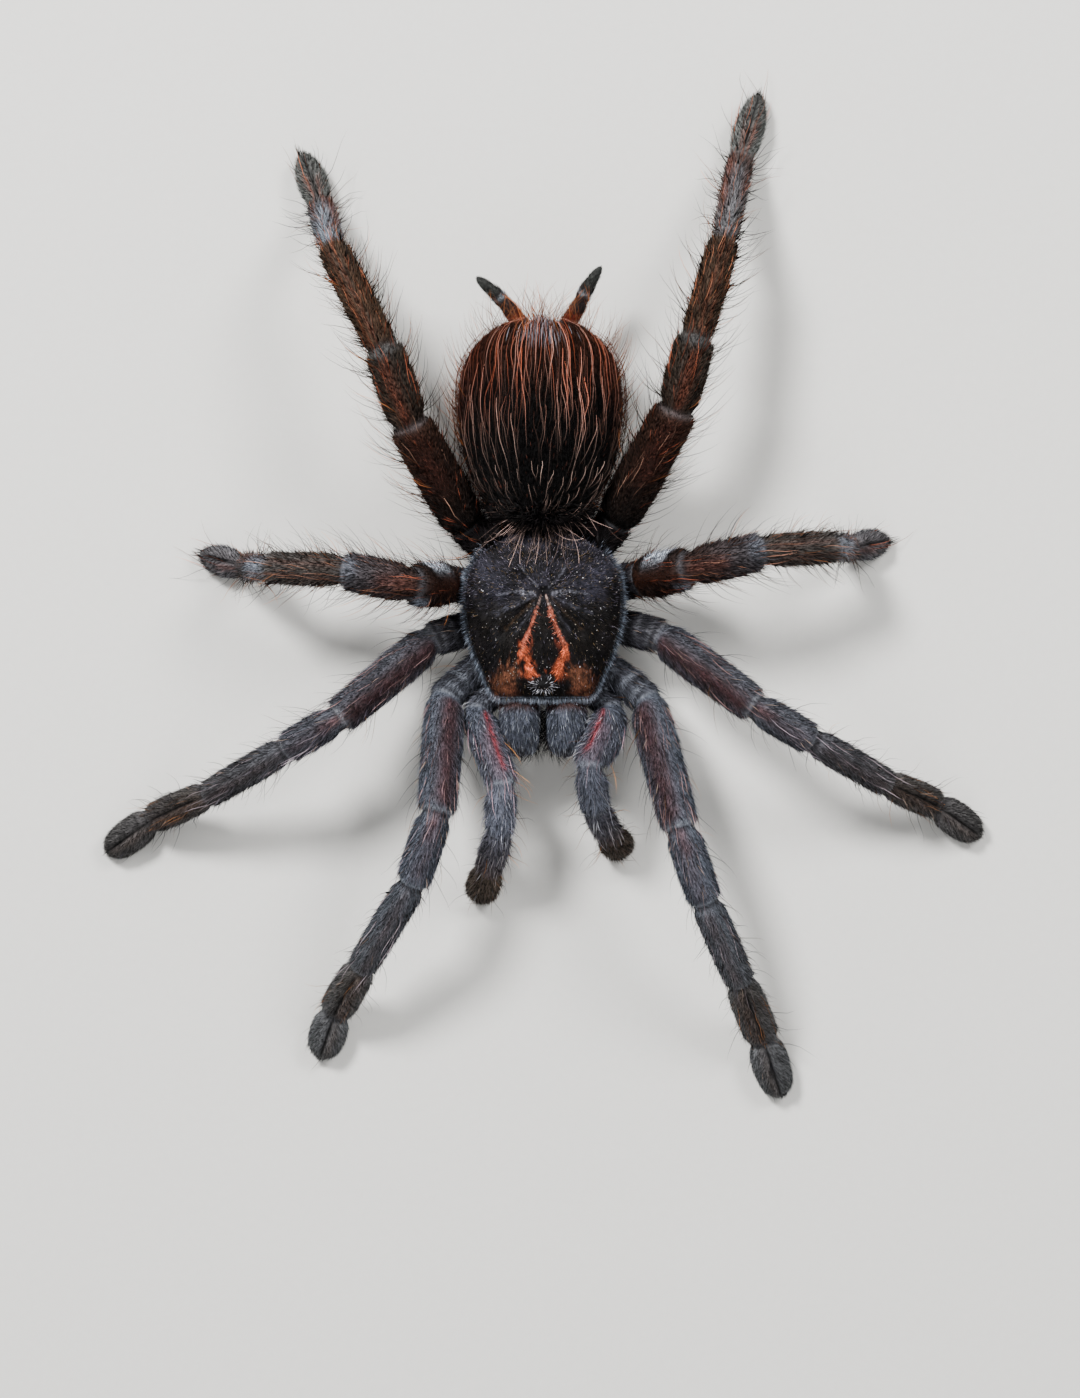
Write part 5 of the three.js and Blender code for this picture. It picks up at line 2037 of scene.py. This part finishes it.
@dataclass
class Spinnerets:
    """Two jointed spinnerets: rust at the root, dark at the tip, with a pale band at the joint."""

    rooted: float = 1.9
    pile: Coat = Coat("pile", 26.0, 0.7, 0.3, 24, 0.16, 1.2)
    hairs: Coat = Coat("long_hair", 1.2, 1.7, 0.3, 34, 0.22, 1.0, (132, 72, 56), 0.14)
    left: tuple[Point, ...] = ((3.2, 36.0, 7.6), (4.6, 38.4, 8.6), (5.8, 40.8, 9.5), (7.7, 43.7, 10.2))
    right: tuple[Point, ...] = ((-2.9, 36.1, 7.6), (-4.7, 38.5, 8.6), (-6.4, 40.2, 9.5), (-8.9, 42.3, 10.2))

    def build(self, salon: Salon) -> list[Piece]:
        """Make both spinnerets."""
        return [piece for side, path in (("left", self.left), ("right", self.right))
                for piece in self.one(salon, side, np.array(path))]

    def one(self, salon: Salon, side: str, path: Array) -> list[Piece]:
        """Make one spinneret.

        Args:
            salon: Grower of hair.
            side: Left or right.
            path: Its centre line from root to tip.

        Returns:
            The skin and its fur.
        """
        node = f"spinneret_{side}"
        skin = Tube((node,), path, sides=28, step=0.25, relax=0.8, even=0.3, tail_round=0.6,
                    head_round=0.4).wrap()
        share = skin.share
        inward = unit(path[0] - path[1]) * self.rooted
        skin.points += inward * (1.0 - ease(0.0, 0.3, share))[:, None]
        colour = layered(
            skin.points, (104, 44, 30), ((38, 34, 34), ease(0.19, 0.29, share)),
            ((120, 126, 132), 0.8 * bell(share - 0.53, 0.03)),
            ((46, 48, 46), 0.8 * ease(0.58, 0.66, share)))
        skin.tint = colour * (0.7 + 0.6 * mottle(skin.points, 0.5, 101))[:, None]
        piece = skin.piece(f"{node}_skin", "limb_skin", "spinneret", node)
        seed = 111 if side == "left" else 115
        pile = salon.plant(skin, replace(self.pile, seed=seed), length=1.0 - 0.5 * ease(0.6, 1.0, share))
        hairs = salon.plant(skin, replace(self.hairs, seed=seed + 1), 1.0 - 0.85 * ease(0.25, 0.5, share))
        return [piece, salon.finish_pelt(f"{node}_fur", "spinneret", [pile, hairs])]


@dataclass
class Underside:
    """Small plates below the body, and the fangs, as smoothed copies of their solids."""

    voxel: float = 0.18
    down: Coat = Coat("pile", 12.0, 0.9, 0.3, 26, 0.2, 1.3, seed=131)
    plan: tuple[tuple[str, str, str, Tone, bool], ...] = (
        ("sternum", "underside", "shield_skin", (46, 38, 36), True),
        ("labium", "underside", "shield_skin", (56, 34, 28), True),
        ("pedicel", "underside", "shield_skin", (34, 28, 28), True),
        ("fang_left", "fang", "gloss", (30, 14, 12), False),
        ("fang_right", "fang", "gloss", (30, 14, 12), False),
    )

    def build(self, salon: Salon) -> list[Piece]:
        """Make every small plate."""
        return [piece for row in self.plan for piece in self.plate(salon, *row)]

    def plate(self, salon: Salon, node: str, slot: str, finish: str, tone: Tone,
              furred: bool) -> list[Piece]:
        """Make one plate from its solid.

        Args:
            salon: Grower of hair.
            node: CAD node that it stands for.
            slot: Material slot; not used.
            finish: Name of its material.
            tone: Colour.
            furred: Whether hair grows on it.

        Returns:
            The plate, and its hair where it has any.
        """
        shape = CadShape((node,))
        keys = np.round(shape.points, 3)
        points, back = np.unique(keys, axis=0, return_inverse=True)
        triangles = back.reshape(-1)[shape.triangles]
        triangles = triangles[(triangles != np.roll(triangles, 1, axis=1)).all(axis=1)]
        piece = write_mesh(f"{node}_plate", points, [triangles])
        rounder = piece.modifiers.new("rounder", "REMESH")
        rounder.mode = "VOXEL"
        rounder.voxel_size = self.voxel * MM
        mesh = evaluated(piece)
        bpy.data.objects.remove(piece)
        quads = np.array([tuple(face.vertices) for face in mesh.polygons])
        corners = self.relaxed(arrays_of(mesh)[0].astype(float) / MM, quads)
        comb = unit(np.stack([corners[:, 0] * 0.4, 0.0 * corners[:, 1] + 1.0, 0.0 * corners[:, 2]], axis=1))
        skin = Skin(corners, [quads], comb, corners[:, 1], np.zeros(len(corners)), corners[None])
        skin.tint = linear(tone)[None] * (0.7 + 0.6 * mottle(corners, 0.9, 121))[:, None]
        plate = skin.piece(f"{node}_plate", finish, slot, node)
        if not furred:
            return [plate]
        return [plate, salon.finish_pelt(f"{node}_hair", slot, [salon.plant(skin, self.down)])]

    @staticmethod
    def relaxed(points: Array, quads: Array) -> Array:
        """Even out a mesh by moving each corner toward its neighbours."""
        pairs = np.concatenate([quads[:, [side, (side + 1) % 4]] for side in range(4)])
        for _ in range(RELAX_ROUNDS):
            total = np.zeros_like(points)
            count = np.zeros(len(points))
            for first, second in ((0, 1), (1, 0)):
                np.add.at(total, pairs[:, first], points[pairs[:, second]])
                np.add.at(count, pairs[:, first], 1.0)
            points = 0.5 * points + 0.5 * total / count[:, None]
        return points


# ---- studio ----


@dataclass(frozen=True)
class Lamp:
    """Large soft lamp aimed at the specimen."""

    name: str
    place: Point
    size: float
    power: float
    tone: Tone = (255, 255, 255)


@dataclass
class Studio:
    """Pale floor, soft lamps and a camera that looks straight down."""

    middle: tuple[float, float] = (-0.47, -13.9)
    frame_height: float = 186.4
    lens: float = 135.0
    sensor: float = 36.0
    focus_height: float = 9.0
    clip: tuple[float, float] = (0.01, 20.0)
    floor_half: float = 1500.0
    room_light: float = 0.42
    room_colour: tuple[float, float, float, float] = (0.97, 0.985, 1.0, 1.0)
    lamps: tuple[Lamp, ...] = (
        Lamp("key", (-0.34, 0.42, 0.62), 0.2, 11.5),
        Lamp("fill", (0.42, 0.36, 0.55), 0.3, 4.5),
        Lamp("front", (0.0, -0.7, 0.6), 0.6, 1.6),
    )

    def build(self) -> None:
        """Set up the floor, the light and the camera."""
        self.floor()
        self.light()
        self.camera()

    def floor(self) -> None:
        """Lay the floor just under the feet."""
        corners = np.array(((-1, -1, 0), (1, -1, 0), (1, 1, 0), (-1, 1, 0))) * self.floor_half
        floor = write_mesh("floor", corners, [np.array([[0, 1, 2, 3]])])
        floor.data.materials.append(FloorFinish().make())

    def light(self) -> None:
        """Hang the lamps and fill the room with soft light."""
        for lamp in self.lamps:
            data = bpy.data.lights.new(lamp.name, "AREA")
            data.shape = "DISK"
            data.size = lamp.size
            data.energy = lamp.power
            data.color = tuple(linear(lamp.tone))
            light = bpy.data.objects.new(lamp.name, data)
            light.location = lamp.place
            light.rotation_euler = (-Vector(lamp.place)).to_track_quat("-Z", "Y").to_euler()
            bpy.context.scene.collection.objects.link(light)
        world = bpy.data.worlds.new("room")
        world.use_nodes = True
        background = world.node_tree.nodes["Background"]
        background.inputs["Color"].default_value = self.room_colour
        background.inputs["Strength"].default_value = self.room_light
        bpy.context.scene.world = world

    def camera(self) -> None:
        """Hang the camera over the specimen, with the animal's rear at the top."""
        data = bpy.data.cameras.new("overhead")
        data.lens = self.lens
        data.sensor_fit = "VERTICAL"
        data.sensor_height = self.sensor
        data.clip_start, data.clip_end = self.clip
        distance = self.lens / self.sensor * self.frame_height
        camera = bpy.data.objects.new("overhead", data)
        camera.location = (self.middle[0] * MM, self.middle[1] * MM, (distance + self.focus_height) * MM)
        bpy.context.scene.collection.objects.link(camera)
        bpy.context.scene.camera = camera


# ---- main ----


class Maker(Protocol):
    """A sub-assembly that can be built."""

    def build(self, salon: Salon) -> list[Piece]:
        """Make the pieces."""


def skin_finishes() -> None:
    """Make the materials of every skin."""
    for finish in (
            SkinFinish("limb_skin"),
            SkinFinish("shield_skin", 0.3, 0.6, rough_high=0.7, bump=0.05, specular=0.08),
            SkinFinish("velvet_skin", 0.5, 0.6, rough_low=0.7, rough_high=0.9),
            SkinFinish("gloss", 0.8, 0.2, rough_low=0.12, rough_high=0.25, bump=0.005, gloss=1.0)):
        finish.make()


def limbs() -> list[Limb]:
    """All legs and palps, with the place of each kneecap's end."""
    front, third, palp = front_style(), third_style(), palp_style()
    warm, light = (0.76, 0.71, 0.68), (1.2, 1.2, 1.2)
    return [
        Limb("leg1_left", front, 0.44, 11),
        Limb("leg1_right", front, 0.41, 12),
        Limb("leg2_left", front, 0.41, 13, wash=warm),
        Limb("leg2_right", front, 0.39, 14, wash=warm),
        Limb("leg3_left", third, 0.49, 15),
        Limb("leg3_right", third, 0.46, 16),
        # Leg four on the right, on the side of the key lamp, takes the full painted sheen.
        Limb("leg4_left", rear_style(0.3), 0.41, 17),
        Limb("leg4_right", rear_style(1.0), 0.405, 18),
        Limb("palp_left", palp, 0.465, 19, is_palp=True, bulge=0.75),
        Limb("palp_right", palp, 0.42, 20, is_palp=True, wash=light)]


def main() -> None:
    """Build the specimen piece by piece, then the studio."""
    logging.basicConfig(level=logging.INFO, format="%(name)s: %(message)s")
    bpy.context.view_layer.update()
    skin_finishes()
    salon = Salon()
    makers: list[Maker] = [*limbs(), Shield(), Abdomen(), Jaws(), Spinnerets(), Underside()]
    for maker in makers:
        for piece in maker.build(salon):
            log.info("%s: %d faces", piece.name, len(piece.data.polygons))
    Studio().build()


if __name__ == "__main__":
    main()
